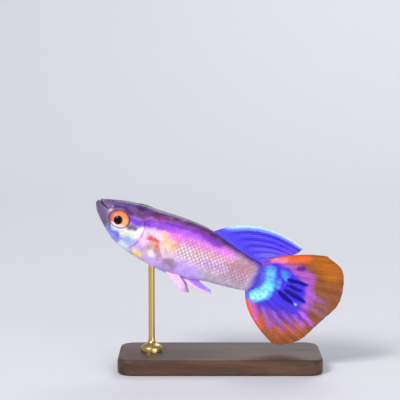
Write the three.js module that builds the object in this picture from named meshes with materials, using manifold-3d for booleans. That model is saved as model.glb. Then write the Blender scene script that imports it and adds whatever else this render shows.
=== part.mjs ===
// Male fancy guppy, life size, swimming head-up on a small display stand.
// Millimetres, +Z up. The head points to -X and the left flank faces -Y. The origin is under the stand.
// The fish is modelled level in its own frame: x runs from the snout tip to the tail, z up through the back,
// y across the body. The whole fish is then pitched and lifted onto its rod.
import * as THREE from "three";
import { mergeVertices } from "three/addons/utils/BufferGeometryUtils.js";
import Module from "manifold-3d";

const wasm = await Module();
wasm.setup();

// Driving dimensions of the fish
const STANDARD_LENGTH = 28; // snout tip to the root of the tail fin
const FISH_PITCH = THREE.MathUtils.degToRad(25); // head up
const TAIL_SWAY = -1.0; // sideways shift of the tail root in the swimming stroke, towards the left flank
const SWAY_START = 10; // the body is straight as far as this
const GAP = 0.3; // between neighbouring pieces

// Driving dimensions of the stand
const BASE_LENGTH = 32;
const BASE_WIDTH = 15;
const BASE_HEIGHT = 2.5;
const ROD_RADIUS = 0.5;
const SNOUT_X = -19.35; // where the snout tip is held over the base
const SNOUT_Z = 26.6;

// Outline of the body at stations along it: the back, the belly, the half width across,
// and how square the section is above and below its widest level (2 is an ellipse)
const STATIONS = [
  { x: 0.0, back: 0.16, belly: -0.9, half: 0.86, square: 2.3, keel: 2.2 },
  { x: 0.95, back: 0.62, belly: -1.78, half: 1.24, square: 2.5, keel: 2.2 },
  { x: 2.2, back: 1.12, belly: -2.85, half: 1.68, square: 2.8, keel: 2.1 },
  { x: 4.7, back: 1.93, belly: -4.52, half: 2.12, square: 2.9, keel: 2.0 },
  { x: 7.2, back: 2.45, belly: -5.28, half: 2.42, square: 2.6, keel: 2.0 },
  { x: 9.8, back: 2.76, belly: -5.74, half: 2.56, square: 2.3, keel: 1.95 },
  { x: 14.2, back: 3.3, belly: -5.98, half: 2.5, square: 2.1, keel: 1.9 },
  { x: 17.8, back: 3.42, belly: -5.5, half: 2.08, square: 2.0, keel: 1.85 },
  { x: 20.4, back: 2.96, belly: -4.62, half: 1.6, square: 2.0, keel: 1.9 },
  { x: 23.0, back: 2.45, belly: -4.12, half: 1.2, square: 2.0, keel: 2.0 },
  { x: 25.4, back: 2.12, belly: -3.6, half: 0.92, square: 2.0, keel: 2.0 },
  { x: STANDARD_LENGTH, back: 1.96, belly: -2.88, half: 0.66, square: 2.2, keel: 2.2 },
];
const WIDEST_LEVEL = 0.42; // share of the depth, down from the back, at which the body is widest
const SNOUT_ROUNDING = 0.95;
const TAIL_ROUNDING = 0.5;

// Where the body is divided
const GILL_EDGE = { x: 8.65, z: -1.6, reach: 1.9, halfHeight: 3.95 }; // rear edge of the gill covers
const TAIL_STEM_START = 20.8;
const BLOCK_REACH = 14; // cutting blocks run this far past the body

// Head
const EYE = { x: 4.45, y: 1.62, z: -1.18, radius: 1.63, thickness: 0.88, lookUp: 0.14, lookAhead: 0.16 };
const GILL_COVER = { rise: 0.17, frontX: 5.9, fullX: 6.9, throatZ: -5.2, lowZ: -4, highZ: 0.2, napeZ: 1.3 };
const LIPS = { rise: 0.1, fromMouth: 0.34, breadth: 0.22, fadeX: 1.5, endX: 2.4 };
const MOUTH = { tipX: 0.44, tipZ: 0.22, cornerX: 2.15, cornerZ: -0.24, opening: 0.22 };
const NOSTRIL = { x: 2.55, angle: 0.62, radius: 0.2 };

// Smooth value of one column of STATIONS at x, by cubic pieces through the stations
function along(key, x) {
  const last = STATIONS.length - 1;
  const at = THREE.MathUtils.clamp(x, STATIONS[0].x, STATIONS[last].x);
  let i = 0;
  while (i < last - 1 && STATIONS[i + 1].x < at) i += 1;
  const slope = (k) => {
    const a = STATIONS[Math.max(k - 1, 0)];
    const b = STATIONS[Math.min(k + 1, last)];
    return (b[key] - a[key]) / (b.x - a.x);
  };
  const a = STATIONS[i];
  const b = STATIONS[i + 1];
  const span = b.x - a.x;
  const t = (at - a.x) / span;
  const t2 = t * t;
  const t3 = t2 * t;
  return (
    (2 * t3 - 3 * t2 + 1) * a[key] +
    (t3 - 2 * t2 + t) * span * slope(i) +
    (3 * t2 - 2 * t3) * b[key] +
    (t3 - t2) * span * slope(i + 1)
  );
}

// Sideways shift of everything at x in the swimming stroke
function sway(x) {
  const past = Math.max(0, x - SWAY_START) / (STANDARD_LENGTH - SWAY_START);
  return TAIL_SWAY * past * past;
}

// How far a section has opened, from 0 at either end of the body to 1, for ends that are rounded
function endRounding(x, grow) {
  const quarter = (distance, radius) => {
    const t = THREE.MathUtils.clamp(1 - distance / radius, 0, 1);
    return Math.sqrt(1 - t * t);
  };
  return quarter(x + grow, SNOUT_ROUNDING) * quarter(STANDARD_LENGTH + grow - x, TAIL_ROUNDING);
}

const signedPower = (value, power) => Math.sign(value) * Math.abs(value) ** power;

// A point of the body's surface. The angle starts at the back and goes round by the right flank;
// grow moves the surface out.
function bodyPoint(x, angle, grow = 0) {
  const back = along("back", x);
  const belly = along("belly", x);
  const middle = back + (belly - back) * WIDEST_LEVEL;
  const cosine = Math.cos(angle);
  const above = cosine >= 0;
  const power = 2 / along(above ? "square" : "keel", x);
  const height = above ? back - middle : middle - belly;
  const open = endRounding(x, grow);
  const across = along("half", x) * open + grow * Math.min(1, open * 2);
  const upright = height * open + grow * Math.min(1, open * 2);
  return new THREE.Vector3(
    x,
    signedPower(Math.sin(angle), power) * across + sway(x),
    middle + signedPower(cosine, power) * upright,
  );
}

const smooth = THREE.MathUtils.smoothstep;
const lerp = THREE.MathUtils.lerp;

// Rear edge of the gill cover at a height
function gillEdge(z) {
  const away = (z - GILL_EDGE.z) / GILL_EDGE.halfHeight;
  return GILL_EDGE.x - GILL_EDGE.reach * away * away;
}

// How far the head's surface stands out beyond the plain body: lips along the mouth, and the gill covers
function headRise(point) {
  const { x, z } = point;
  const runX = MOUTH.cornerX - MOUTH.tipX;
  const runZ = MOUTH.cornerZ - MOUTH.tipZ;
  const fromMouth = Math.abs((z - MOUTH.tipZ) * runX - (x - MOUTH.tipX) * runZ) / Math.hypot(runX, runZ);
  const nearLips = Math.exp(-(((fromMouth - LIPS.fromMouth) / LIPS.breadth) ** 2));
  const lips = nearLips * (1 - smooth(x, LIPS.fadeX, LIPS.endX));
  const ahead = smooth(x, GILL_COVER.frontX, GILL_COVER.fullX);
  const below = smooth(z, GILL_COVER.throatZ, GILL_COVER.lowZ);
  const above = 1 - smooth(z, GILL_COVER.highZ, GILL_COVER.napeZ);
  return LIPS.rise * lips + GILL_COVER.rise * ahead * below * above;
}

// Closed loft: rings of points at the given stations, each end closed on its ring's own middle
function loft(stations, around, pointAt) {
  const points = [];
  const faces = [];
  const ringCentre = (ring) =>
    ring.reduce((sum, p) => sum.add(p), new THREE.Vector3()).divideScalar(ring.length);
  const rings = stations.map((x) =>
    Array.from({ length: around }, (_, i) => pointAt(x, (2 * Math.PI * i) / around)),
  );
  rings.forEach((ring) => points.push(...ring));
  for (let r = 0; r < rings.length - 1; r += 1) {
    for (let i = 0; i < around; i += 1) {
      const a = r * around + i;
      const b = r * around + ((i + 1) % around);
      faces.push(a, a + around, b + around, a, b + around, b);
    }
  }
  const lastRing = (rings.length - 1) * around;
  points.push(ringCentre(rings[0]), ringCentre(rings[rings.length - 1]));
  for (let i = 0; i < around; i += 1) {
    const next = (i + 1) % around;
    faces.push(points.length - 2, i, next);
    faces.push(points.length - 1, lastRing + next, lastRing + i);
  }
  return meshGeometry(points, faces);
}

function meshGeometry(points, faces) {
  const geometry = new THREE.BufferGeometry();
  geometry.setAttribute(
    "position",
    new THREE.Float32BufferAttribute(points.flatMap((p) => p.toArray()), 3),
  );
  geometry.setIndex(faces);
  return geometry;
}

// Stations from start to end, closer together near the start when crowd is over 1
function spaced(start, end, count, crowd = 1) {
  return Array.from({ length: count + 1 }, (_, i) => start + (end - start) * (i / count) ** crowd);
}

// A closed geometry as a solid that can be joined and cut
function solid(geometry) {
  const plain = new THREE.BufferGeometry();
  plain.setAttribute("position", geometry.getAttribute("position"));
  plain.setIndex(geometry.index);
  const merged = mergeVertices(plain, 1e-4);
  return new wasm.Manifold(
    new wasm.Mesh({
      numProp: 3,
      vertProperties: new Float32Array(merged.getAttribute("position").array),
      triVerts: new Uint32Array(merged.index.array),
    }),
  );
}

// The largest closed surface of a solid, as a geometry
function largestGeometry(made) {
  const pieces = made.decompose();
  const kept = pieces.reduce((best, piece) => (piece.volume() > best.volume() ? piece : best));
  const mesh = kept.getMesh();
  const geometry = new THREE.BufferGeometry();
  geometry.setAttribute("position", new THREE.BufferAttribute(mesh.vertProperties, 3));
  geometry.setIndex(new THREE.BufferAttribute(mesh.triVerts, 1));
  return geometry;
}

// Block that fills everything ahead of the gill covers' rear edge, moved back by offset
function blockAheadOfGills(offset) {
  const steps = 12;
  const low = GILL_EDGE.z - BLOCK_REACH / 2;
  const high = GILL_EDGE.z + BLOCK_REACH / 2;
  const shape = new THREE.Shape();
  shape.moveTo(-BLOCK_REACH, low);
  for (let i = 0; i <= steps; i += 1) {
    const z = lerp(low, high, i / steps);
    shape.lineTo(Math.max(gillEdge(z), GILL_EDGE.x - 1.3 * GILL_EDGE.reach) + offset, z);
  }
  shape.lineTo(-BLOCK_REACH, high);
  return acrossBody(shape, BLOCK_REACH);
}

// Extrudes an outline drawn in x and z right across the body
function acrossBody(shape, width) {
  const geometry = new THREE.ExtrudeGeometry(shape, { depth: width, bevelEnabled: false, steps: 1 });
  geometry.rotateX(Math.PI / 2);
  geometry.translate(0, width / 2, 0);
  return geometry;
}

// Eyeball, or its socket when grow is over 0; side is -1 for the left eye
function eyeGeometry(side, grow) {
  const geometry = new THREE.SphereGeometry(1, 18, 10);
  geometry.rotateX(Math.PI / 2);
  geometry.scale(EYE.radius + grow, EYE.thickness + grow, EYE.radius + grow);
  geometry.rotateX(side * EYE.lookUp);
  geometry.rotateZ(side * EYE.lookAhead);
  geometry.translate(EYE.x, side * EYE.y, EYE.z);
  return geometry;
}

// Slit of the mouth: it enters from the top of the snout, behind the lower jaw's tip,
// and runs back to the corner
function mouthGeometry() {
  const { tipX, tipZ, cornerX, cornerZ, opening } = MOUTH;
  const middleX = (tipX + cornerX) / 2;
  const middleZ = (tipZ + cornerZ) / 2;
  const above = tipZ + 1;
  const shape = new THREE.Shape();
  shape.moveTo(tipX - opening, above);
  shape.lineTo(tipX - opening / 2, tipZ - opening / 2);
  shape.quadraticCurveTo(middleX, middleZ - opening / 2, cornerX, cornerZ);
  shape.quadraticCurveTo(middleX, middleZ + opening, tipX + opening, tipZ + opening);
  shape.lineTo(tipX + opening / 2, above);
  return acrossBody(shape, BLOCK_REACH);
}

function headGeometry() {
  const whole = loft(spaced(0, GILL_EDGE.x + 0.6, 22, 1.25), 36, (x, angle) => {
    const plain = bodyPoint(x, angle);
    return bodyPoint(x, angle, headRise(plain) * endRounding(x, 0));
  });
  let head = solid(whole).intersect(solid(blockAheadOfGills(0)));
  head = head.subtract(solid(mouthGeometry()));
  for (const side of [-1, 1]) {
    head = head.subtract(solid(eyeGeometry(side, GAP)));
    const nostril = new THREE.SphereGeometry(NOSTRIL.radius, 8, 6);
    nostril.translate(...bodyPoint(NOSTRIL.x, side * NOSTRIL.angle).toArray());
    head = head.subtract(solid(nostril));
  }
  return largestGeometry(head);
}

function trunkGeometry() {
  const whole = loft(spaced(3.5, TAIL_STEM_START - GAP / 2, 20), 32, bodyPoint);
  return largestGeometry(solid(whole).subtract(solid(blockAheadOfGills(GAP))));
}

function tailStemGeometry() {
  const stem = spaced(TAIL_STEM_START + GAP / 2, STANDARD_LENGTH - TAIL_ROUNDING, 9);
  const end = [0.62, 0.85, 0.97].map((t) => STANDARD_LENGTH - TAIL_ROUNDING * (1 - t));
  return loft([...stem, ...end], 32, bodyPoint);
}

// The body moved out by the gap all over, which trims each fin and the rod to meet the skin
const grownBody = solid(
  loft(spaced(-GAP + 0.02, STANDARD_LENGTH + GAP - 0.01, 44), 32, (x, angle) => bodyPoint(x, angle, GAP)),
);

// A fin as one closed sheet: columns across the rays and rows along them, split alike on both faces.
// middle(s, t) is the sheet's middle at share s across the rays, from the upper edge down, and t along them.
// half(s, t) is its half thickness.
function finSheet(columns, rows, middle, half) {
  const points = [];
  const faces = [];
  for (const side of [-1, 1]) {
    for (let i = 0; i <= columns; i += 1) {
      for (let j = 0; j <= rows; j += 1) {
        const s = i / columns;
        const t = j / rows;
        const point = middle(s, t);
        point.y += side * half(s, t);
        points.push(point);
      }
    }
  }
  const face = (columns + 1) * (rows + 1);
  const at = (i, j) => i * (rows + 1) + j;
  const both = (a, b, c) => faces.push(a, c, b, a + face, b + face, c + face);
  const wall = (a, b) => faces.push(a, b + face, a + face, a, b, b + face);
  for (let i = 0; i < columns; i += 1) {
    for (let j = 0; j < rows; j += 1) {
      both(at(i, j), at(i, j + 1), at(i + 1, j + 1));
      both(at(i, j), at(i + 1, j + 1), at(i + 1, j));
    }
    wall(at(i + 1, 0), at(i, 0));
    wall(at(i, rows), at(i + 1, rows));
  }
  for (let j = 0; j < rows; j += 1) {
    wall(at(0, j), at(0, j + 1));
    wall(at(columns, j + 1), at(columns, j));
  }
  return meshGeometry(points, faces);
}

// Height of the rays as ridges on a fin: 1 on a ray and 0 on the membrane between
const rayRidge = (s, rays) => Math.max(0, Math.cos(2 * Math.PI * s * (rays - 1)));

// Half thickness of a fin: membrane, rays raised on it that sink a little outwards, and a thinner margin
const MEMBRANE = 0.25;
const RAY_RISE = 0.1;
const RAY_SINK = 0.4;
const MARGIN_START = 0.8;
const MARGIN_THINNING = 0.45;

function finHalf(rays) {
  return (s, t) => {
    const ray = RAY_RISE * (1 - RAY_SINK * t) * rayRidge(s, rays);
    return (MEMBRANE + ray) * (1 - MARGIN_THINNING * smooth(t, MARGIN_START, 1));
  };
}

// Point of a quadratic curve from a to c, pulled towards b
function curvePoint(a, b, c, t) {
  return new THREE.QuadraticBezierCurve(a, b, c).getPoint(t);
}

const plane = (x, z) => new THREE.Vector2(x, z);

// Tail fin: a fan of rays from the tail stem's end to a rounded margin, with the outermost rays flared
const TAIL_FIN = {
  rays: 17,
  rootTop: plane(27.1, 1.75),
  rootBottom: plane(27.1, -2.65),
  flareTop: plane(-0.4, 1.35),
  flareBottom: plane(-2.65, -0.8),
  foldDepth: 0.75,
  folds: 1.25,
  foldStart: 0.05,
};
const TAIL_MARGIN = new THREE.SplineCurve([
  plane(36.5, 7.4),
  plane(39.45, 6.45),
  plane(40.8, 3.93),
  plane(41.05, 1.26),
  plane(40.1, -1.26),
  plane(39.3, -3.3),
  plane(38.2, -6.3),
  plane(36.2, -8.26),
  plane(34.6, -8.85),
]);

function tailFinPoint(s, t) {
  const root = TAIL_FIN.rootTop.clone().lerp(TAIL_FIN.rootBottom, s);
  const margin = TAIL_MARGIN.getPointAt(s);
  const bend = root.clone().lerp(margin, 0.5);
  bend.addScaledVector(TAIL_FIN.flareTop, Math.max(0, 1 - 2 * s) ** 2);
  bend.addScaledVector(TAIL_FIN.flareBottom, Math.max(0, 2 * s - 1) ** 2);
  const flat = curvePoint(root, bend, margin, t);
  const turn = 2 * Math.PI * (TAIL_FIN.folds * s + TAIL_FIN.foldStart);
  const fold = TAIL_FIN.foldDepth * t * t * Math.sin(turn);
  return new THREE.Vector3(flat.x, sway(flat.x) + fold, flat.y);
}

function tailFinGeometry() {
  const sheet = finSheet(2 * (TAIL_FIN.rays - 1), 11, tailFinPoint, finHalf(TAIL_FIN.rays));
  return largestGeometry(solid(sheet).subtract(grownBody));
}

// Dorsal fin: eight swept rays from the back, the first arched over the others and trailing to a point
const DORSAL_FIN = {
  rays: 8,
  rootFront: plane(18.2, 2.6),
  rootRear: plane(26.9, 1.3),
  tip: plane(32.7, 6.75),
  heel: plane(29.3, 4.15),
  archFront: plane(-1.95, 4.0),
  archRear: plane(-0.3, 0.35),
  marginSwell: 0.35,
  lean: 0.27,
};

function dorsalFinPoint(s, t) {
  const root = DORSAL_FIN.rootFront.clone().lerp(DORSAL_FIN.rootRear, s);
  const margin = DORSAL_FIN.tip.clone().lerp(DORSAL_FIN.heel, s);
  margin.x += DORSAL_FIN.marginSwell * Math.sin(Math.PI * s);
  const bend = root.clone().lerp(margin, 0.5);
  bend.add(DORSAL_FIN.archFront.clone().lerp(DORSAL_FIN.archRear, s));
  const flat = curvePoint(root, bend, margin, t);
  const height = Math.max(0, flat.y - along("back", flat.x));
  return new THREE.Vector3(flat.x, sway(flat.x) + DORSAL_FIN.lean * height, flat.y);
}

function dorsalFinGeometry() {
  const sheet = finSheet(4 * (DORSAL_FIN.rays - 1), 10, dorsalFinPoint, finHalf(DORSAL_FIN.rays));
  return largestGeometry(solid(sheet).subtract(grownBody));
}

// Gonopodium: the male's anal fin, narrow and laid back under the belly
const GONOPODIUM = {
  rays: 3,
  rootFront: plane(17.2, -4.55),
  rootRear: plane(19.2, -4.1),
  tipLow: plane(22.65, -5.88),
  tipHigh: plane(22.2, -5.3),
  bendLow: plane(18.3, -6.7),
  bendHigh: plane(19.9, -5.3),
};

function gonopodiumPoint(s, t) {
  const root = GONOPODIUM.rootRear.clone().lerp(GONOPODIUM.rootFront, s);
  const bend = GONOPODIUM.bendHigh.clone().lerp(GONOPODIUM.bendLow, s);
  const tip = GONOPODIUM.tipHigh.clone().lerp(GONOPODIUM.tipLow, s);
  const flat = curvePoint(root, bend, tip, t);
  return new THREE.Vector3(flat.x, sway(flat.x), flat.y);
}

function gonopodiumGeometry() {
  const sheet = finSheet(4 * (GONOPODIUM.rays - 1), 12, gonopodiumPoint, finHalf(GONOPODIUM.rays));
  return largestGeometry(solid(sheet).subtract(grownBody));
}

// Pelvic fins: a pair of small pointed blades under the belly, spread a little apart.
// Side is -1 for the left one.
const PELVIC_FIN = {
  rays: 5,
  rootFront: plane(14.0, -5.2),
  rootRear: plane(16.2, -5.1),
  tip: plane(19.0, -7.4),
  heel: plane(19.1, -6.55),
  archFront: plane(-0.5, -0.35),
  rootSpread: 0.62,
  tipSpread: 1.35,
  farReach: 0.07, // the right fin reaches this share further back, and the left as much less
  longestRay: 0.8,
  shortening: 0.5,
};

function pelvicFinPoint(side) {
  return (s, t) => {
    const root = PELVIC_FIN.rootRear.clone().lerp(PELVIC_FIN.rootFront, s);
    const margin = PELVIC_FIN.heel.clone().lerp(PELVIC_FIN.tip, s);
    const shorter = PELVIC_FIN.shortening * (s - PELVIC_FIN.longestRay) ** 2;
    margin.lerp(root, shorter - side * PELVIC_FIN.farReach);
    const bend = root.clone().lerp(margin, 0.5).addScaledVector(PELVIC_FIN.archFront, s);
    const flat = curvePoint(root, bend, margin, t);
    const spread = lerp(PELVIC_FIN.rootSpread, PELVIC_FIN.tipSpread, t);
    return new THREE.Vector3(flat.x, sway(flat.x) + side * spread, flat.y);
  };
}

function pelvicFinGeometry(side) {
  const sheet = finSheet(2 * (PELVIC_FIN.rays - 1), 8, pelvicFinPoint(side), finHalf(PELVIC_FIN.rays));
  return largestGeometry(solid(sheet).subtract(grownBody));
}

// Pectoral fins: a pair of rounded fans low on the flank behind the gill covers, held off the body
const PECTORAL_FIN = {
  rays: 11,
  x: 9.35,
  z: -2.95,
  sunk: 0.55,
  length: 4.7,
  rootHeight: 1.15,
  topAngle: THREE.MathUtils.degToRad(24),
  bottomAngle: THREE.MathUtils.degToRad(-34),
  standOff: THREE.MathUtils.degToRad(31),
  droop: THREE.MathUtils.degToRad(9),
  curl: -0.35,
  longestRay: 0.42,
  shortening: 0.88,
};

function pectoralFinPoint(s, t) {
  const angle = lerp(PECTORAL_FIN.topAngle, PECTORAL_FIN.bottomAngle, s);
  const reach = t * PECTORAL_FIN.length * (1 - PECTORAL_FIN.shortening * (s - PECTORAL_FIN.longestRay) ** 2);
  return new THREE.Vector3(
    reach * Math.cos(angle),
    PECTORAL_FIN.curl * t * t,
    (0.5 - s) * PECTORAL_FIN.rootHeight + reach * Math.sin(angle),
  );
}

function pectoralFinGeometry(side) {
  const sheet = finSheet(2 * (PECTORAL_FIN.rays - 1), 7, pectoralFinPoint, finHalf(PECTORAL_FIN.rays));
  sheet.rotateY(PECTORAL_FIN.droop);
  sheet.rotateZ(-PECTORAL_FIN.standOff);
  sheet.translate(PECTORAL_FIN.x, -along("half", PECTORAL_FIN.x) + PECTORAL_FIN.sunk, PECTORAL_FIN.z);
  const cut = solid(sheet).subtract(grownBody);
  return largestGeometry(side < 0 ? cut : cut.mirror([0, 1, 0]));
}

// The fish's place over the stand
const fishPlace = new THREE.Matrix4()
  .makeRotationY(FISH_PITCH)
  .setPosition(SNOUT_X, 0, SNOUT_Z);

// Stand: a plinth with rounded corners and eased edges, and a rod on a small foot
const BASE_CORNER = 2.5;
const BASE_EDGE = 0.5;
const ROD_BODY_X = 12.2; // the rod meets the belly this far behind the snout, ahead of the pelvic fins
const ROD_FOOT = [
  [0, 0],
  [1.7, 0],
  [1.7, 0.45],
  [1.25, 0.8],
  [ROD_RADIUS + 0.12, 1.05],
  [ROD_RADIUS, 1.5],
];

function baseGeometry() {
  const halfLength = BASE_LENGTH / 2 - BASE_EDGE;
  const halfWidth = BASE_WIDTH / 2 - BASE_EDGE;
  const shape = new THREE.Shape();
  shape.moveTo(-halfLength + BASE_CORNER, -halfWidth);
  shape.absarc(halfLength - BASE_CORNER, -halfWidth + BASE_CORNER, BASE_CORNER, -Math.PI / 2, 0);
  shape.absarc(halfLength - BASE_CORNER, halfWidth - BASE_CORNER, BASE_CORNER, 0, Math.PI / 2);
  shape.absarc(-halfLength + BASE_CORNER, halfWidth - BASE_CORNER, BASE_CORNER, Math.PI / 2, Math.PI);
  shape.absarc(-halfLength + BASE_CORNER, -halfWidth + BASE_CORNER, BASE_CORNER, Math.PI, 1.5 * Math.PI);
  const geometry = new THREE.ExtrudeGeometry(shape, {
    depth: BASE_HEIGHT - 2 * BASE_EDGE,
    curveSegments: 5,
    bevelThickness: BASE_EDGE,
    bevelSize: BASE_EDGE,
    bevelSegments: 2,
  });
  geometry.translate(0, 0, BASE_EDGE);
  return geometry;
}

function rodGeometry() {
  const belly = bodyPoint(ROD_BODY_X, Math.PI).applyMatrix4(fishPlace);
  const foot = BASE_HEIGHT + GAP;
  const profile = ROD_FOOT.map(([radius, height]) => new THREE.Vector2(radius, height));
  const top = belly.z - foot + 1;
  profile.push(new THREE.Vector2(ROD_RADIUS, top), new THREE.Vector2(0, top));
  const rod = new THREE.LatheGeometry(profile, 16);
  rod.rotateX(Math.PI / 2);
  rod.translate(belly.x, 0, foot);
  const toFish = fishPlace.clone().invert();
  const trimmed = largestGeometry(solid(rod.applyMatrix4(toFish)).subtract(grownBody));
  return trimmed.applyMatrix4(fishPlace);
}

// Finishes
const FINISH = {
  skin: { color: 0xb58ad8, roughness: 0.35, metalness: 0.15 },
  eye: { color: 0xf0965a, roughness: 0.1, metalness: 0 },
  blueFin: { color: 0x5a4bf0, roughness: 0.4, metalness: 0 },
  tailFin: { color: 0xb8682c, roughness: 0.4, metalness: 0 },
  paleFin: { color: 0xecc8ec, roughness: 0.4, metalness: 0 },
  wood: { color: 0x3a2519, roughness: 0.45, metalness: 0 },
  brass: { color: 0xb08a45, roughness: 0.3, metalness: 1 },
};

function piece(name, geometry, finish) {
  const mesh = new THREE.Mesh(geometry, new THREE.MeshStandardMaterial(FINISH[finish]));
  mesh.name = name;
  return mesh;
}

const fish = new THREE.Group();
fish.add(
  piece("head", headGeometry(), "skin"),
  piece("trunk", trunkGeometry(), "skin"),
  piece("tail_stem", tailStemGeometry(), "skin"),
  piece("tail_fin", tailFinGeometry(), "tailFin"),
  piece("dorsal_fin", dorsalFinGeometry(), "blueFin"),
  piece("gonopodium", gonopodiumGeometry(), "paleFin"),
);
for (const [name, side] of Object.entries({ left: -1, right: 1 })) {
  fish.add(
    piece("eye_" + name, eyeGeometry(side, 0), "eye"),
    piece("pelvic_fin_" + name, pelvicFinGeometry(side), "paleFin"),
    piece("pectoral_fin_" + name, pectoralFinGeometry(side), "paleFin"),
  );
}
fish.applyMatrix4(fishPlace);

const guppy = new THREE.Group();
guppy.add(fish, piece("stand_base", baseGeometry(), "wood"), piece("stand_rod", rodGeometry(), "brass"));

export default guppy;
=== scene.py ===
import functools
import itertools
import math

import bpy
import numpy as np
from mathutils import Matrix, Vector


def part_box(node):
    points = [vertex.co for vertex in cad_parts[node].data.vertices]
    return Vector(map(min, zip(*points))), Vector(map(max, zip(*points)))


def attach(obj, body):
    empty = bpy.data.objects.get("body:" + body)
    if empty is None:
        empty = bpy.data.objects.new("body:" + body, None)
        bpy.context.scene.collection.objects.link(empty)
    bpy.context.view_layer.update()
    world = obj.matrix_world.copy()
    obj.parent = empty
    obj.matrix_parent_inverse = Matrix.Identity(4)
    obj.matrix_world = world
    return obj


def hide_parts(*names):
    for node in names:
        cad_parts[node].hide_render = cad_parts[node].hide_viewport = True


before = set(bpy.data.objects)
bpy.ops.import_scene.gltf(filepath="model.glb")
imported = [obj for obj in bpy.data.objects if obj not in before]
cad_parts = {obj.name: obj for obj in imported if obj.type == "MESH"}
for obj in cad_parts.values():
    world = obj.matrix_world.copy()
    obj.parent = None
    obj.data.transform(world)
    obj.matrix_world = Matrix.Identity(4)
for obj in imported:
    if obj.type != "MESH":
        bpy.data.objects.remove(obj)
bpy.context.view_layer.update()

# The room: a pale floor that sweeps up behind the model, soft lamps, and a camera level with the
# fish's left flank and a little above it.
VIEW_WIDTH = 0.0629
VIEW_CENTRE = Vector((-0.00315, 0, 0.0266))
CAMERA_DISTANCE = 0.25
CAMERA_ELEVATION = math.radians(6)
SENSOR_WIDTH = 36


def add_object(name, data):
    thing = bpy.data.objects.new(name, data)
    bpy.context.collection.objects.link(thing)
    return thing


def aim(thing, place):
    """Put the camera or a lamp at place, turned to the middle of the view."""
    thing.location = place
    thing.rotation_euler = (VIEW_CENTRE - Vector(place)).to_track_quat("-Z", "Y").to_euler()


camera = add_object("camera", bpy.data.cameras.new("camera"))
camera.data.sensor_width = SENSOR_WIDTH
camera.data.lens = SENSOR_WIDTH * CAMERA_DISTANCE / VIEW_WIDTH
camera.data.clip_start = 0.01
camera.data.clip_end = 10
towards_camera = Vector((0, -math.cos(CAMERA_ELEVATION), math.sin(CAMERA_ELEVATION)))
aim(camera, VIEW_CENTRE + CAMERA_DISTANCE * towards_camera)
bpy.context.scene.camera = camera

FLOOR_HALF_WIDTH = 1.2
SWEEP_START = 0.25
SWEEP_RADIUS = 0.35
SWEEP_STEPS = 24
BACKDROP_TOP = 1.5
LAYER_FIELDS = {"FLOAT": "value", "FLOAT_VECTOR": "vector", "FLOAT_COLOR": "color"}


def feed(node, inputs):
    """Give a node's inputs their values, or join them to other nodes' outputs."""
    for key, value in inputs.items():
        if isinstance(value, bpy.types.NodeSocket):
            node.id_data.links.new(value, node.inputs[key])
        else:
            node.inputs[key].default_value = value


def new_material(name, inputs):
    """A material with its node tree and its shader, whose inputs are given."""
    material = bpy.data.materials.new(name)
    material.use_nodes = True
    shader = material.node_tree.nodes["Principled BSDF"]
    feed(shader, inputs)
    return material, material.node_tree, shader


def add_layer(piece, name, kind, values):
    """Numbers, vectors or colours kept at the points of a mesh."""
    values = np.asarray(values, np.float32)
    if kind == "FLOAT_COLOR":
        values = np.concatenate([values, np.ones((len(values), 1), np.float32)], axis=1)
    layer = piece.data.attributes.new(name, kind, "POINT")
    layer.data.foreach_set(LAYER_FIELDS[kind], values.ravel())


def add_piece(name, points, faces, material, colours=None):
    """A smooth mesh piece, with its markings where they are given."""
    mesh = bpy.data.meshes.new(name)
    mesh.from_pydata([tuple(p) for p in points], [], faces)
    mesh.update()
    mesh.shade_smooth()
    mesh.materials.append(material)
    piece = add_object(name, mesh)
    if colours is not None:
        add_layer(piece, "Markings", "FLOAT_COLOR", colours)
    return piece


floor_profile = [(-FLOOR_HALF_WIDTH, 0)]
for step in range(SWEEP_STEPS + 1):
    turn = math.pi / 2 * step / SWEEP_STEPS
    rise = SWEEP_RADIUS * (1 - math.cos(turn))
    floor_profile.append((SWEEP_START + SWEEP_RADIUS * math.sin(turn), rise))
floor_profile.append((SWEEP_START + SWEEP_RADIUS, BACKDROP_TOP))
floor_points = [(side * FLOOR_HALF_WIDTH, y, z) for y, z in floor_profile for side in (-1, 1)]
floor_faces = [(2 * i, 2 * i + 1, 2 * i + 3, 2 * i + 2) for i in range(len(floor_profile) - 1)]
floor_paint, _, _ = new_material("pale floor", {"Base Color": (0.7, 0.7, 0.74, 1), "Roughness": 0.7})
add_piece("floor", floor_points, floor_faces, floor_paint)

for name, place, size, power in (
    ("key lamp", (-0.3, -0.42, 0.42), 0.24, 3.2),
    ("fill lamp", (0.32, -0.5, 0.1), 0.4, 1.7),
    ("back lamp", (0.15, 0.45, 0.45), 0.35, 1.1),
):
    lamp = bpy.data.lights.new(name, "AREA")
    lamp.shape = "DISK"
    lamp.size = size
    lamp.energy = power
    aim(add_object(name, lamp), place)
room_air = bpy.data.worlds.new("room air")
room_air.use_nodes = True
feed(room_air.node_tree.nodes["Background"], {"Color": (0.86, 0.88, 0.95, 1), "Strength": 0.4})
bpy.context.scene.world = room_air
bpy.context.scene.view_settings.view_transform = "Standard"

# The skin: one hide over head, trunk and tail stem, soft and slightly slimy, painted by its pigment
# and silver cells, with painted shade in the mouth's cleft. It lies a scale's depth inside the body's
# outline. Sizes here are in millimetres in the fish's own frame: x from the snout tip to the tail, z up
# through the back, y to its right.
MM = 0.001
PITCH = math.radians(25)
SNOUT = (-19.35, 0, 26.6)
BODY_LENGTH = 28
SWAY = -1.0
SWAY_START = 10
SNOUT_ROUNDING = 0.95
TAIL_ROUNDING = 0.5
WIDEST_LEVEL = 0.42
COAT_DEPTH = 0.1
COAT_START = (7.5, 9.0)
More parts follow.
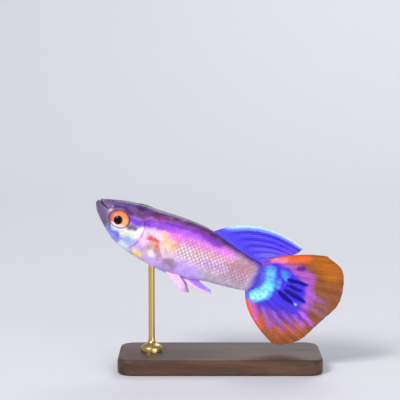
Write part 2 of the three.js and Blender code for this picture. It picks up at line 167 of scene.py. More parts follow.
# Columns: x, back, belly, half width, squareness above the widest level, squareness below it
STATIONS = np.array([
    (0.0, 0.16, -0.9, 0.86, 2.3, 2.2),
    (0.95, 0.62, -1.78, 1.24, 2.5, 2.2),
    (2.2, 1.12, -2.85, 1.68, 2.8, 2.1),
    (4.7, 1.93, -4.52, 2.12, 2.9, 2.0),
    (7.2, 2.45, -5.28, 2.42, 2.6, 2.0),
    (9.8, 2.76, -5.74, 2.56, 2.3, 1.95),
    (14.2, 3.3, -5.98, 2.5, 2.1, 1.9),
    (17.8, 3.42, -5.5, 2.08, 2.0, 1.85),
    (20.4, 2.96, -4.62, 1.6, 2.0, 1.9),
    (23.0, 2.45, -4.12, 1.2, 2.0, 2.0),
    (25.4, 2.12, -3.6, 0.92, 2.0, 2.0),
    (BODY_LENGTH, 1.96, -2.88, 0.66, 2.2, 2.2),
])
BACK, BELLY, HALF, SQUARE, KEEL = range(1, 6)


def along(column, x):
    """Smooth value of a column of STATIONS at x."""
    places = STATIONS[:, 0]
    values = STATIONS[:, column]
    count = len(places)
    before = np.maximum(np.arange(count) - 1, 0)
    after = np.minimum(np.arange(count) + 1, count - 1)
    slopes = (values[after] - values[before]) / (places[after] - places[before])
    x = np.clip(x, places[0], places[-1])
    i = np.clip(np.searchsorted(places, x, side="right") - 1, 0, count - 2)
    span = places[i + 1] - places[i]
    t = (x - places[i]) / span
    start = (2 * t**3 - 3 * t**2 + 1) * values[i] + (t**3 - 2 * t**2 + t) * span * slopes[i]
    return start + (3 * t**2 - 2 * t**3) * values[i + 1] + (t**3 - t**2) * span * slopes[i + 1]


def sway(x):
    return SWAY * (np.maximum(0, x - SWAY_START) / (BODY_LENGTH - SWAY_START)) ** 2


def smooth(value, low, high):
    """0 below low, 1 above high, and an even slope between."""
    t = np.clip((value - low) / (high - low), 0, 1)
    return t * t * (3 - 2 * t)


def bell(distance, width):
    """1 at no distance, fading away over width."""
    return np.exp(-((distance / width) ** 2))


def body_point(x, angle):
    """Points of the body's surface; the angle starts at the back and goes round by the right flank."""
    def opening(distance, radius):
        return np.sqrt(1 - np.clip(1 - distance / radius, 0, 1) ** 2)

    opened = opening(x, SNOUT_ROUNDING) * opening(BODY_LENGTH - x, TAIL_ROUNDING)
    back = along(BACK, x)
    belly = along(BELLY, x)
    middle = back + (belly - back) * WIDEST_LEVEL
    above = np.cos(angle) >= 0
    power = 2 / np.where(above, along(SQUARE, x), along(KEEL, x))
    upright = np.where(above, back - middle, middle - belly) * opened
    y = np.sign(np.sin(angle)) * np.abs(np.sin(angle)) ** power * along(HALF, x) * opened + sway(x)
    z = middle + np.sign(np.cos(angle)) * np.abs(np.cos(angle)) ** power * upright
    return np.stack(np.broadcast_arrays(x, y, z), axis=-1)


def turned(a, b, angle):
    """Two coordinates turned in their plane by angle."""
    return a * math.cos(angle) + b * math.sin(angle), b * math.cos(angle) - a * math.sin(angle)


def to_room(points):
    """From the fish's own frame in millimetres to the room in metres."""
    x, y, z = np.moveaxis(np.asarray(points, float), -1, 0)
    room_x, room_z = turned(x, z, PITCH)
    return (np.stack([room_x, y, room_z], axis=-1) + SNOUT) * MM


def to_fish(points):
    """From the room in metres back to the fish's own frame."""
    x, y, z = np.moveaxis(np.asarray(points, float) / MM - SNOUT, -1, 0)
    fish_x, fish_z = turned(x, z, -PITCH)
    return np.stack([fish_x, y, fish_z], axis=-1)


def linear(colour):
    """Screen colour of 0 to 255 as light of 0 to 1."""
    c = np.asarray(colour, float) / 255
    return np.where(c <= 0.04045, c / 12.92, ((c + 0.055) / 1.055) ** 2.4)


def lay(colour, *coats):
    """Coats of (how much of it, screen colour) laid over colour in turn."""
    for mask, tint in coats:
        colour = colour + np.clip(mask, 0, 1)[..., None] * (linear(tint) - colour)
    return colour


def from_stroke(x, z, path):
    """Distance to a brush stroke drawn through the points of path."""
    nearest = np.full(np.shape(x), np.inf)
    for (ax, az), (bx, bz) in zip(path, path[1:]):
        length = (bx - ax) ** 2 + (bz - az) ** 2
        t = np.clip(((x - ax) * (bx - ax) + (z - az) * (bz - az)) / length, 0, 1)
        nearest = np.minimum(nearest, np.hypot(x - ax - t * (bx - ax), z - az - t * (bz - az)))
    return nearest


def wobble(x, z, pitch, shift=0.0):
    """A slow uneven wave over the side of the fish, between about -1 and 1."""
    a = np.sin(2 * math.pi * (x / pitch + 0.31 * np.sin(z / pitch * 3.1 + shift)) + shift)
    b = np.sin(2 * math.pi * (z / pitch * 0.83 + 0.27 * np.sin(x / pitch * 2.3 + 2 * shift)) + 1.7)
    return 0.5 * (a + b)


def paint(x, z, colour, strokes, unevenness=1.0):
    """Strokes of (path, half width, softness, screen colour, strength) laid over colour in turn."""
    bent_x = x + unevenness * 0.16 * wobble(x, z, 1.9)
    bent_z = z + unevenness * 0.13 * wobble(z, x, 1.6, 0.9)
    for path, half, softness, tint, strength in strokes:
        distance = from_stroke(bent_x, bent_z, path)
        mask = strength * (1 - smooth(distance, half - softness, half + softness))
        colour = lay(colour, (mask, tint))
    return colour


MARKS_BACK = 0.044
MARKS_DOWN = 0.095
BACK_EDGE = (62, 28, 94)
FLANK_SKIN = (234, 196, 236)
BELLY_SKIN = (216, 186, 252)
BODY_STROKES = [
    # Lavender lower flank, tan over the belly, cream and tan towards the tail stem
    ([(9, -4.6), (13, -4.7), (18, -4.0)], 1.5, 1.0, (200, 168, 255), 0.94),
    ([(13.7, -4.0), (15.0, -4.25)], 0.7, 0.5, (160, 124, 132), 0.84),
    ([(14.2, -5.2), (15.2, -5.4)], 0.4, 0.4, (190, 150, 190), 0.7),
    ([(21, -3.2), (26.5, -2.2)], 1.3, 1.0, (188, 174, 188), 0.9),
    ([(22.5, -0.2), (26.5, 0.4)], 1.2, 1.0, (172, 134, 138), 0.88),
    # White pink flank with its brightest stretch over the belly
    ([(13, -2.2), (17, -1.5), (21.5, -1.4)], 1.2, 0.9, (254, 230, 250), 0.95),
    ([(19.8, 0.2), (22.9, 0.5)], 0.7, 0.6, (250, 192, 230), 0.9),
    ([(17.6, -0.5), (20.4, -0.3)], 0.35, 0.4, (244, 190, 160), 0.55),
    ([(19.8, -1.9), (22.6, -1.5)], 0.6, 0.6, (216, 190, 255), 0.88),
    # Magenta and violet bands up the back
    ([(12.2, 0.0), (16.0, 0.45), (18.6, 0.9), (22.4, 1.5)], 0.8, 0.6, (244, 128, 255), 0.96),
    ([(6.4, -0.7), (9.2, 0.3), (13.0, 1.4), (17.0, 2.0), (20.5, 1.95)], 0.8, 0.5, (126, 48, 190), 0.98),
    ([(9.4, 0.35), (13.2, 1.0), (15.6, 1.5)], 0.35, 0.35, (164, 88, 236), 0.8),
    ([(13.6, 1.0), (17.4, 1.5)], 0.4, 0.4, (196, 98, 250), 0.75),
    ([(8.0, 1.25), (11.2, 2.05), (15.5, 2.75), (19.5, 2.65)], 0.45, 0.4, (116, 52, 132), 0.92),
    ([(8.0, 1.2), (11.6, 2.0)], 0.35, 0.35, (140, 48, 116), 0.75),
    ([(20.5, 2.5), (24.5, 1.75), (27.0, 1.6)], 0.5, 0.5, (128, 76, 150), 0.85),
    # Peach shoulder with a hot pink corner, and a white pink streak in front of it
    ([(12.0, -1.1), (13.2, -1.9), (14.2, -1.5)], 0.95, 0.6, (254, 216, 198), 0.97),
    ([(13.3, -3.0), (14.2, -2.8)], 0.6, 0.5, (236, 208, 222), 0.85),
    ([(12.3, -0.5), (13.1, -1.2)], 0.5, 0.4, (255, 192, 152), 0.85),
    ([(13.8, -0.2), (14.5, -0.95)], 0.4, 0.35, (246, 146, 182), 0.75),
    ([(13.9, -1.4), (14.5, -1.6)], 0.26, 0.25, (248, 174, 120), 0.75),
    ([(13.1, -1.9), (13.6, -2.0)], 0.42, 0.35, (255, 232, 186), 0.8),
    ([(10.3, -0.75), (10.9, -0.95), (11.5, -1.3)], 0.4, 0.3, (246, 216, 250), 0.9),
    # Orange red crescent round the pectoral fin's root, with its dark and cream spots
    ([(9.9, -2.9), (10.1, -4.0)], 0.4, 0.35, (238, 188, 212), 0.85),
    ([(10.3, -1.8), (11.2, -1.95), (11.75, -2.6), (11.95, -3.3)], 0.4, 0.26, (226, 92, 62), 0.95),
    ([(11.95, -3.2), (12.6, -4.15)], 0.38, 0.3, (194, 116, 126), 0.87),
    ([(10.9, -2.5), (11.0, -2.9)], 0.34, 0.28, (252, 178, 102), 0.92),
    ([(10.4, -3.3), (10.6, -3.5)], 0.24, 0.24, (140, 78, 88), 0.8),
    ([(11.0, -3.85), (11.4, -4.15)], 0.42, 0.28, (255, 252, 242), 0.98),
    ([(8.8, -4.9), (9.7, -5.0)], 0.55, 0.4, (255, 228, 140), 0.95),
    # Violet blue end of the tail stem
    ([(28.3, 2.2), (28.8, -0.5), (28.6, -3.2)], 1.25, 0.55, (70, 58, 196), 0.98),
    ([(28.9, 0.7), (29.0, -0.6), (28.8, -1.8)], 0.4, 0.35, (84, 120, 244), 0.8),
]
HEAD_STROKES = [
    # Slate violet crown and snout, greyer on the lower jaw
    ([(1.0, 0.6), (4.0, 1.2), (7.5, 1.6)], 1.3, 0.8, (94, 70, 122), 0.95),
    ([(3.4, 0.9), (6.0, 1.5)], 0.35, 0.35, (108, 82, 172), 0.7),
    ([(0.2, -0.4), (1.2, -1.3), (2.6, -2.8)], 0.85, 0.6, (94, 82, 112), 0.95),
    ([(1.4, -0.6), (2.9, -1.6)], 0.6, 0.6, (96, 78, 126), 0.8),
    # Sky blue and lavender lower cheek, silver white gill cover
    ([(3.6, -3.2), (4.6, -3.7), (6.0, -4.4)], 0.65, 0.5, (140, 146, 230), 0.95),
    ([(3.1, -2.3), (3.8, -2.9)], 0.34, 0.3, (112, 104, 150), 0.85),
    ([(4.3, -2.6), (5.0, -2.95), (6.2, -3.0)], 0.42, 0.35, (226, 228, 252), 0.9),
    ([(4.5, -3.25), (5.2, -3.55)], 0.34, 0.28, (104, 114, 228), 0.88),
    ([(3.9, -2.75), (4.7, -3.05)], 0.17, 0.15, (222, 226, 250), 0.8),
    ([(6.3, -2.4), (7.7, -2.2), (8.2, -1.2)], 0.75, 0.5, (250, 248, 244), 0.98),
    ([(6.0, -2.9), (7.6, -2.75)], 0.35, 0.3, (238, 236, 206), 0.7),
    ([(6.9, -3.6), (8.0, -3.7)], 0.55, 0.4, (150, 186, 222), 0.85),
    ([(6.2, -4.6), (7.6, -4.9)], 0.4, 0.3, (222, 242, 250), 0.95),
    ([(8.0, -4.4), (8.6, -3.4)], 0.4, 0.4, (206, 200, 246), 0.8),
    # Dark smudges behind and below the eye, and the violet that starts at the gill cover's top
    ([(6.5, -1.65), (7.3, -1.45)], 0.42, 0.35, (92, 74, 112), 0.9),
    ([(6.15, -1.1), (6.5, -0.6)], 0.16, 0.14, (212, 186, 240), 0.8),
    ([(5.4, 0.4), (8.4, 1.1)], 0.65, 0.45, (104, 56, 116), 0.92),
    ([(6.0, -0.55), (7.6, -0.45), (8.8, 0.0)], 0.62, 0.35, (112, 46, 196), 0.96),
    ([(2.6, -0.1), (3.0, 0.35), (4.6, 0.75), (5.9, 0.35)], 0.3, 0.3, (70, 44, 92), 0.85),
]


def body_colours(points):
    """The markings of skin and scales at points of the body, drawn as they show from the side."""
    out = np.abs(points[..., 1] - sway(points[..., 0]))
    x = points[..., 0] + MARKS_BACK * out
    z = points[..., 2] - MARKS_DOWN * out
    back = along(BACK, x)
    belly = along(BELLY, x)
    level = np.clip((points[..., 2] - belly) / (back - belly), 0, 1)
    ground = lay(linear(BELLY_SKIN), (smooth(level, 0.1, 0.45), FLANK_SKIN))
    colour = paint(x, z, ground, BODY_STROKES)
    on_head = 1 - smooth(x + 0.25 * np.abs(z + 1.6), 8.4, 9.4)
    colour += on_head[..., None] * (paint(x, z, ground, HEAD_STROKES) - colour)
    nape = 0.05 * (1 - smooth(np.abs(x - 8.2), 1.0, 4.0))
    ridge = smooth(level + nape + 0.02 * wobble(x, z, 2.3), 0.9, 0.985)
    return lay(colour, (0.9 * ridge, BACK_EDGE))


def body_shine(points):
    """How silvery the skin is, from 0 to 1: most on the gill covers and cheeks, least on the back."""
    x = points[..., 0]
    z = points[..., 2]
    cover = 1 - smooth(from_stroke(x, z, [(3.6, -2.8), (7.4, -2.3), (7.6, -4.0)]), 0.7, 1.9)
    flank = 1 - smooth(np.abs(z + 1.6), 1.2, 3.0)
    return np.clip(0.75 * cover + 0.3 * flank, 0, 1)


# Sculpted lines of the head: the mouth, the folds of jaw, chin and throat, and the cheek's ridge
MOUTH = [(0.2, 0.75), (0.44, 0.24), (1.295, -0.08), (2.15, -0.26)]
MOUTH_INSIDE = [(0.3, 0.5), (0.44, 0.24), (1.3, -0.06), (2.15, -0.26)]
JAW_FOLD = [(2.15, -0.26), (2.5, -0.9), (2.45, -1.6)]
CHIN_LINE = [(1.6, -2.15), (3.4, -3.55), (5.6, -4.55), (7.4, -5.0)]
CHEEK_RIDGE = [(6.35, -0.3), (6.5, -1.8), (6.1, -3.2), (4.9, -3.75), (3.6, -3.3)]
THROAT_FOLD = [(5.2, -4.35), (6.6, -4.5), (7.9, -4.05)]
NO_END = (BODY_LENGTH, BODY_LENGTH + 1)
# Columns: line, distance from it, half width, height, and from where to where it fades towards the tail
HEAD_LINES = [
    (MOUTH, 0.26, 0.16, 0.1, (1.7, 2.4)),
    (MOUTH, 0, 0.085, -0.34, (2.0, 2.3)),
    (JAW_FOLD, 0, 0.1, -0.07, NO_END),
    (JAW_FOLD, 0.24, 0.16, 0.05, (2.4, 2.9)),
    (CHIN_LINE, 0, 0.1, -0.06, NO_END),
    (CHEEK_RIDGE, 0, 0.09, -0.07, NO_END),
    (CHEEK_RIDGE, 0.22, 0.15, 0.05, NO_END),
    (THROAT_FOLD, 0, 0.08, -0.06, NO_END),
]
BROW = [(3.2, 0.35), (4.5, 0.72), (5.8, 0.3)]
# Columns: x, distance from the midline, depth
NOSTRILS = [(2.3, 0.98, 0.13), (2.95, 1.25, 0.1)]
EYE_CENTRE = (4.45, 1.62, -1.03)
EYE_RADIUS = 1.72
EYE_THICKNESS = 0.88
EYE_OPENING = (1.72, 1.4)
EYE_HEIGHT_SHARE = 0.83
GILL_EDGE = (8.65, -1.6, 1.9, 3.95)


def gill_edge(z):
    x, middle, reach, half_height = GILL_EDGE
    return x - reach * ((z - middle) / half_height) ** 2


def head_relief(points):
    """How far the skin stands out from the plain body along its normal, in millimetres."""
    x, y, z = np.moveaxis(points, -1, 0)
    relief = np.zeros_like(x)
    for line, off, width, height, fading in HEAD_LINES:
        relief += height * bell(from_stroke(x, z, line) - off, width) * (1 - smooth(x, *fading))
    # The gill cover stands proud and ends in a free edge
    behind = x - gill_edge(z)
    cover = 0.17 * smooth(x, 5.6, 6.8) * (1 - smooth(behind, -0.06, 0.08))
    relief += (cover - 0.1 * bell(behind - 0.14, 0.1)) * smooth(z, -5.3, -4.6) * (1 - smooth(z, 0.1, 1.2))
    # The eye lies in a bowl under a soft brow
    from_eye = np.hypot((x - EYE_CENTRE[0]) / EYE_OPENING[0], (z - EYE_CENTRE[2]) / EYE_OPENING[1])
    socket = 0.13 * bell(from_eye - 1.11, 0.11) - 0.7 * (1 - smooth(from_eye, 0.93, 1.03))
    relief += (socket + 0.14 * bell(from_stroke(x, z, BROW), 0.34)) * smooth(np.abs(y), 0.9, 1.4)
    # Each nostril is a pit with a raised rim
    for nostril_x, nostril_y, depth in NOSTRILS:
        pit = np.hypot(x - nostril_x, np.abs(y) - nostril_y)
        relief += (0.025 * bell(pit - 0.22, 0.08) - depth * bell(pit, 0.13)) * smooth(z, -0.4, 0.1)
    # A fleshy lobe carries the pectoral fin
    lobe = np.hypot((x - 9.55) / 0.55, (z + 3.0) / 0.75)
    return relief + 0.16 * bell(lobe, 1) * smooth(np.abs(y), 0.8, 1.4)


def grid_normals(points):
    """Outward directions over a closed grid of rings, in the fish's frame."""
    padded = np.concatenate([points[:, -1:], points, points[:, :1]], axis=1)
    normals = np.cross(np.gradient(points, axis=0), (padded[:, 2:] - padded[:, :-2]) / 2)
    return normals / np.maximum(np.linalg.norm(normals, axis=-1, keepdims=True), 1e-9)


def ring_faces(rows, columns, poles=False):
    """Faces over closed rings of points, ended by flat faces, or by fans to two last points."""
    count = rows * columns
    faces = []
    for a in range(count - columns):
        b = a + 1 if (a + 1) % columns else a + 1 - columns
        faces.append((a, a + columns, b + columns, b))
    last = count - columns
    if not poles:
        return faces + [tuple(range(columns)), tuple(reversed(range(last, count)))]
    for column in range(columns):
        ahead = (column + 1) % columns
        faces.append((count, column, ahead))
        faces.append((count + 1, last + ahead, last + column))
    return faces


def add_node(tree, kind, inputs=None, **settings):
    node = tree.nodes.new(kind)
    for key, value in settings.items():
        setattr(node, key, value)
    feed(node, inputs or {})
    return node


def layer_node(tree, name):
    return add_node(tree, "ShaderNodeAttribute", attribute_name=name).outputs


def painted_material(name, gloss, cells, tones, relief=None, silver=0, pattern=None):
    """Markings mottled by fine cells of pigment, with a relief, and silvery where Shine is high.

    A pattern gives the colour and the relief's height in place of the markings and the cells.
    """
    material, tree, shader = new_material(name, gloss)
    place = add_node(tree, "ShaderNodeTexCoord").outputs["Object"]
    height = add_node(tree, "ShaderNodeTexNoise", {"Vector": place, **cells}).outputs["Fac"]
    mottle = add_node(tree, "ShaderNodeMapRange", {"Value": height, **tones}).outputs["Result"]
    colour = layer_node(tree, "Markings")["Color"]
    if pattern:
        colour, height = pattern(tree, colour)
    shaded = add_node(tree, "ShaderNodeVectorMath", {0: colour, "Scale": mottle}, operation="SCALE")
    feed(shader, {"Base Color": shaded.outputs["Vector"]})
    if silver:
        shine = {0: layer_node(tree, "Shine")["Fac"], 1: silver}
        feed(shader, {"Metallic": add_node(tree, "ShaderNodeMath", shine, operation="MULTIPLY").outputs[0]})
    if relief:
        bump = add_node(tree, "ShaderNodeBump", {"Height": height, **relief})
        feed(shader, {"Normal": bump.outputs["Normal"]})
    return material


SKIN_AROUND = 216
STEM_END_LENGTH = 3
STEM_END_THINNING = 0.6
STEM_END_BULGE = 0.9
# Painted shade laid along the mouth's cleft
MOUTH_CLEFT_SHADE = (34, 20, 38)
snout_turns = np.linspace(0.02, math.pi / 2, 26)
end_turns = np.linspace(0, math.pi / 2 - 0.05, 9)[1:]
skin_x = np.concatenate([
    SNOUT_ROUNDING * (1 - np.cos(snout_turns)),
    np.linspace(SNOUT_ROUNDING, 9.6, 150)[1:],
    np.linspace(9.6, BODY_LENGTH - TAIL_ROUNDING, 110)[1:],
    BODY_LENGTH - TAIL_ROUNDING + TAIL_ROUNDING * np.sin(end_turns),
])


def skin_surface(x, angles):
    """Points of the skin at stations x and angles round the body."""
    plain = body_point(x[:, None], angles[None, :])
    sunk = (COAT_DEPTH * smooth(x, *COAT_START))[:, None]
    formed = plain + grid_normals(plain) * (head_relief(plain) - sunk)[..., None]
    # The tail stem thins to a blade and ends in a curved line over the roots of the tail's rays
    ending = smooth(x, BODY_LENGTH - STEM_END_LENGTH, BODY_LENGTH)[:, None]
    middle = sway(x)[:, None]
    formed[..., 1] = middle + (formed[..., 1] - middle) * (1 - STEM_END_THINNING * ending)
    half_height = (along(BACK, x) - along(BELLY, x))[:, None] / 2
    level = (formed[..., 2] - (along(BACK, x) + along(BELLY, x))[:, None] / 2) / half_height
    formed[..., 0] += STEM_END_BULGE * ending * np.maximum(0, 1 - level**2)
    return formed


skin_rings = skin_surface(skin_x, np.linspace(0, 2 * math.pi, SKIN_AROUND, endpoint=False))
skin_ends = [skin_rings[0].mean(axis=0), skin_rings[-1].mean(axis=0)]
skin_points = np.concatenate([skin_rings.reshape(-1, 3), skin_ends])
# The mouth's cleft gets painted shade, darkest along its inner line.
from_mouth = from_stroke(skin_points[:, 0], skin_points[:, 2], MOUTH_INSIDE)
skin_colours = lay(body_colours(skin_points), (0.85 * bell(from_mouth, 0.12), MOUTH_CLEFT_SHADE))
skin_paint = painted_material(
    "guppy skin",
    {"Roughness": 0.4, "Specular IOR Level": 0.3, "Coat Weight": 0.16, "Coat Roughness": 0.16},
    {"Scale": 5200, "Detail": 4, "Roughness": 0.65},
    {"From Min": 0.3, "From Max": 0.7, "To Min": 0.78, "To Max": 1.16},
    relief={"Strength": 0.25, "Distance": 0.00004},
    silver=0.4,
)
skin_faces = ring_faces(len(skin_x), SKIN_AROUND, poles=True)
skin = add_piece("skin", to_room(skin_points), skin_faces, skin_paint, skin_colours)
add_layer(skin, "Shine", "FLOAT", body_shine(skin_points))
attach(skin, "root")
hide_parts("head", "trunk", "tail_stem")

# The scales: thin round-edged plates of clear horn over silver cells, rooted in the skin in rows from
# nape and gill cover to the tail, each one lapped over the next by half its length.
SCALE_PITCH = 0.7
ROW_PITCH = 0.82
NAPE_START = 5.9
NAPE_LEVEL = 0.9
NAPE_FALL = 0.25
BARE_BEHIND_COVER = 0.12
LATERAL_ANGLE = 0.47 * math.pi
SCALE_MIDDLE = 0.9
SCALE_TAN = (174, 118, 138)
PLATE_ROUNDING = 0.42
PLATE_WAIST = 0.78
PLATE_SWELL = 0.25
PLATE_SWELL_TURN = 2.4
PLATE_DROOP = 0.02
SIZE_RANGE = {"Min": 0.94, "Max": 1.06}
MAP_SHARE = 0.99
SCALE_INPUTS = {
    "Scale Length": 1.36 * MM,
    "Scale Width": 1.2 * MM,
    "Lift": 0.068 * MM,
    "Root Depth": 0.06 * MM,
    "Thickness": 0.03 * MM,
    "Patch": 0.003,
    "Seed": 7,
}


def path_lengths(path):
    """How far along a path each of its points lies."""
    return np.concatenate([[0], np.cumsum(np.linalg.norm(np.diff(path, axis=0), axis=1))])


def scale_roots():
    """Place, outward direction, lie, station and turn of every scale's root."""
    half_turn = np.linspace(0, math.pi, 121)

    def at(turn, values):
        return np.array([np.interp(turn, half_turn, values[:, axis]) for axis in range(3)])

    roots = []
    columns = int((BODY_LENGTH - NAPE_START) / (SCALE_PITCH / 2))
    for column, side in itertools.product(range(columns), (1, -1)):
        x = NAPE_START + column * SCALE_PITCH / 2
        ring = skin_surface(np.array([x - 0.05, x, x + 0.05]), side * half_turn)[1]
        ahead, behind = body_point(np.array([[x - 0.3], [x + 0.3]]), side * half_turn[None, :])
        walked = path_lengths(ring)
        start = np.interp(LATERAL_ANGLE, half_turn, walked) + ROW_PITCH / 2 * (column % 2)
        rows = range(math.ceil(-start / ROW_PITCH), math.floor((walked[-1] - start) / ROW_PITCH) + 1)
        for row in rows:
            turn = np.interp(start + row * ROW_PITCH, walked, half_turn)
            place = at(turn, ring)
            on_nape = place[2] > NAPE_LEVEL - NAPE_FALL * (place[0] - NAPE_START)
            if place[0] - gill_edge(place[2]) < BARE_BEHIND_COVER and not on_nape:
                continue
            down = (at(turn + 0.02, ring) - at(turn - 0.02, ring)) * (0, 1, 1)
            flow = at(turn, behind - ahead)
            outward = np.cross(flow, down) * side
            outward /= max(np.linalg.norm(outward), 1e-9)
            roots.append((place, outward, flow / np.linalg.norm(flow), x, side * turn))
    return [np.array(values) for values in zip(*roots)]


def node_group(name, given, inputs, made):
    """A Geometry Nodes group, the values that it is given, and its output node."""
    tree = bpy.data.node_groups.new(name, "GeometryNodeTree")
    tree.interface.new_socket(given, in_out="INPUT", socket_type="NodeSocketGeometry")
    for label, value in inputs.items():
        kind = "NodeSocketInt" if isinstance(value, int) else "NodeSocketFloat"
        tree.interface.new_socket(label, in_out="INPUT", socket_type=kind).default_value = value
    tree.interface.new_socket(made, in_out="OUTPUT", socket_type="NodeSocketGeometry")
    return tree, tree.nodes.new("NodeGroupInput").outputs, tree.nodes.new("NodeGroupOutput")


def scale_tree(material):
    """Geometry Nodes: one plate set on every root, turned to its lie, laid over the skin's curve."""
    tree, given, result = node_group("scale coat", "Roots", SCALE_INPUTS, "Coat")

    def calc(operation, a, b=0.0):
        return add_node(tree, "ShaderNodeMath", {0: a, 1: b}, operation=operation).outputs[0]

    def times(*factors):
        return functools.reduce(functools.partial(calc, "MULTIPLY"), factors)

    def stretched(a, scale):
        inputs = {0: a, "Scale": scale}
        return add_node(tree, "ShaderNodeVectorMath", inputs, operation="SCALE").outputs["Vector"]

    def added(a, b):
        return add_node(tree, "ShaderNodeVectorMath", {0: a, 1: b}, operation="ADD").outputs["Vector"]

    def shaped(kind, inputs, made="Geometry", **settings):
        return add_node(tree, kind, inputs, **settings).outputs[made]

    def kept(geometry, name, value, kind="FLOAT", domain="POINT"):
        inputs = {"Geometry": geometry, "Name": name, "Value": value}
        return shaped("GeometryNodeStoreNamedAttribute", inputs, data_type=kind, domain=domain)

    def stored(name, kind="FLOAT_VECTOR"):
        return shaped("GeometryNodeInputNamedAttribute", {"Name": name}, "Attribute", data_type=kind)

    # A unit grid, remembered as the plate's own map and then bent into the plate
    position = tree.nodes.new("GeometryNodeInputPosition").outputs["Position"]
    parts = add_node(tree, "ShaderNodeSeparateXYZ", {0: position}).outputs
    grid_size = {"Size X": 1, "Size Y": 1, "Vertices X": 4, "Vertices Y": 7}
    grid = kept(shaped("GeometryNodeMeshGrid", grid_size, "Mesh"), "Plate", position, "FLOAT_VECTOR")
    t = calc("ADD", parts["X"], 0.5)
    s = times(parts["Y"], 2.0)
    front = calc("SUBTRACT", 1.0, t)
    roundness = calc("SUBTRACT", 1.0, times(s, s, PLATE_ROUNDING))
    bulge = calc("ADD", PLATE_WAIST, times(calc("SINE", times(t, PLATE_SWELL_TURN)), PLATE_SWELL))
    sunk = times(front, front, given["Root Depth"])
    droop = times(s, s, given["Scale Width"], PLATE_DROOP)
    shape = add_node(tree, "ShaderNodeCombineXYZ", {
        "X": times(t, roundness, given["Scale Length"]),
        "Y": times(s, bulge, given["Scale Width"], 0.5),
        "Z": calc("SUBTRACT", calc("SUBTRACT", times(t, given["Lift"]), sunk), droop),
    }).outputs[0]
    bent = shaped("GeometryNodeSetPosition", {"Geometry": grid, "Position": shape})

    # Thickness: the plate pushed out, closed by its own underside
    push = {"Mesh": bent, "Offset Scale": given["Thickness"], "Individual": False}
    both = tree.nodes.new("GeometryNodeJoinGeometry")
    feed(both, {"Geometry": shaped("GeometryNodeExtrudeMesh", push, "Mesh", mode="FACES")})
    feed(both, {"Geometry": shaped("GeometryNodeFlipFaces", {"Mesh": bent}, "Mesh")})
    joined = {"Geometry": both.outputs["Geometry"], "Distance": 1e-7}
    plate = kept(shaped("GeometryNodeMergeByDistance", joined), "Height", parts["Z"])

    # One plate on every root, a little larger or smaller from scale to scale
    lie = {"Primary Axis": stored("Outward"), "Secondary Axis": stored("Lie")}
    turned_plate = add_node(
        tree, "FunctionNodeAxesToRotation", lie, primary_axis="Z", secondary_axis="X"
    ).outputs["Rotation"]
    varied = add_node(tree, "FunctionNodeRandomValue", {"Seed": given["Seed"]}, data_type="FLOAT")
    for socket in varied.inputs:
        if socket.enabled and socket.name in SIZE_RANGE:
            socket.default_value = SIZE_RANGE[socket.name]
    random_size = next(socket for socket in varied.outputs if socket.enabled)
    instances = shaped("GeometryNodeInstanceOnPoints", {
        "Points": given["Roots"],
        "Instance": plate,
        "Rotation": turned_plate,
        "Scale": times(random_size, stored("Size", "FLOAT")),
    }, "Instances")
    real = shaped("GeometryNodeRealizeInstances", {"Geometry": instances})

    # Every corner goes to the skin's nearest point, and out from there by its height in the plate
    under = shaped("GeometryNodeObjectInfo", {"Object": skin}, transform_space="ORIGINAL")
    normal = tree.nodes.new("GeometryNodeInputNormal").outputs["Normal"]
    foot, out = (
        shaped("GeometryNodeSampleNearestSurface", {"Mesh": under, "Value": field}, "Value",
               data_type="FLOAT_VECTOR")
        for field in (position, normal)
    )
    standing = times(stored("Height", "FLOAT"), stored("Standing", "FLOAT"))
    laid_place = added(foot, stretched(out, standing))
    laid = shaped("GeometryNodeSetPosition", {"Geometry": real, "Position": laid_place})

    # Each scale's own small patch at its root's place on the skin's map
    patch_place = added(stored("Root Map"), stretched(stored("Plate"), given["Patch"]))
    mapped = kept(laid, "OFBake", patch_place, "FLOAT2", "CORNER")
    finish = shaped("GeometryNodeSetMaterial", {"Geometry": mapped, "Material": material})
    feed(result, {"Coat": finish})
    return tree


def horn(tree, markings):
    """Clear horn: the markings, tan at each scale's free edge, and the height of its fine rings."""
    back = add_node(tree, "ShaderNodeSeparateXYZ", {0: layer_node(tree, "Plate")["Vector"]}).outputs["X"]
    reach = {"Value": back, "From Min": 0.2, "From Max": 0.44}
    edge = add_node(tree, "ShaderNodeMapRange", reach, interpolation_type="SMOOTHSTEP").outputs["Result"]
    both = {"Factor": edge, 6: markings, 7: layer_node(tree, "Edge Markings")["Color"]}
    spread = add_node(tree, "ShaderNodeMath", {0: back, 1: 110}, operation="MULTIPLY").outputs[0]
    rings = add_node(tree, "ShaderNodeMath", {0: spread}, operation="SINE").outputs[0]
    return add_node(tree, "ShaderNodeMix", both, data_type="RGBA").outputs[2], rings


def point_holder(name, points, edges=()):
    mesh = bpy.data.meshes.new(name)
    mesh.from_pydata([tuple(p) for p in points], list(edges), [])
    return add_object(name, mesh)


def plain_mesh(holder, tree, inputs, name):
    """The evaluated result of a tree on holder, as a plain mesh piece of its own."""
    modifier = holder.modifiers.new("maker", "NODES")
    modifier.node_group = tree
    for socket in tree.interface.items_tree:
        if socket.name in inputs:
            modifier[socket.identifier] = inputs[socket.name]
    holder.update_tag()
    depsgraph = bpy.context.evaluated_depsgraph_get()
    depsgraph.update()
    mesh = bpy.data.meshes.new_from_object(holder.evaluated_get(depsgraph))
    mesh.name = name
    holder.modifiers.remove(modifier)
    bpy.data.objects.remove(holder)
    return add_object(name, mesh)


def read_layer(piece, name):
    """The vectors of a layer of a mesh's points."""
    layer = piece.data.attributes[name].data
    values = np.empty(len(layer) * 3, np.float32)
    layer.foreach_get("vector", values)
    return values.reshape(-1, 3)


def facing(directions):
    """Directions of the fish's frame as directions of the room."""
    return to_room(directions) / MM - SNOUT


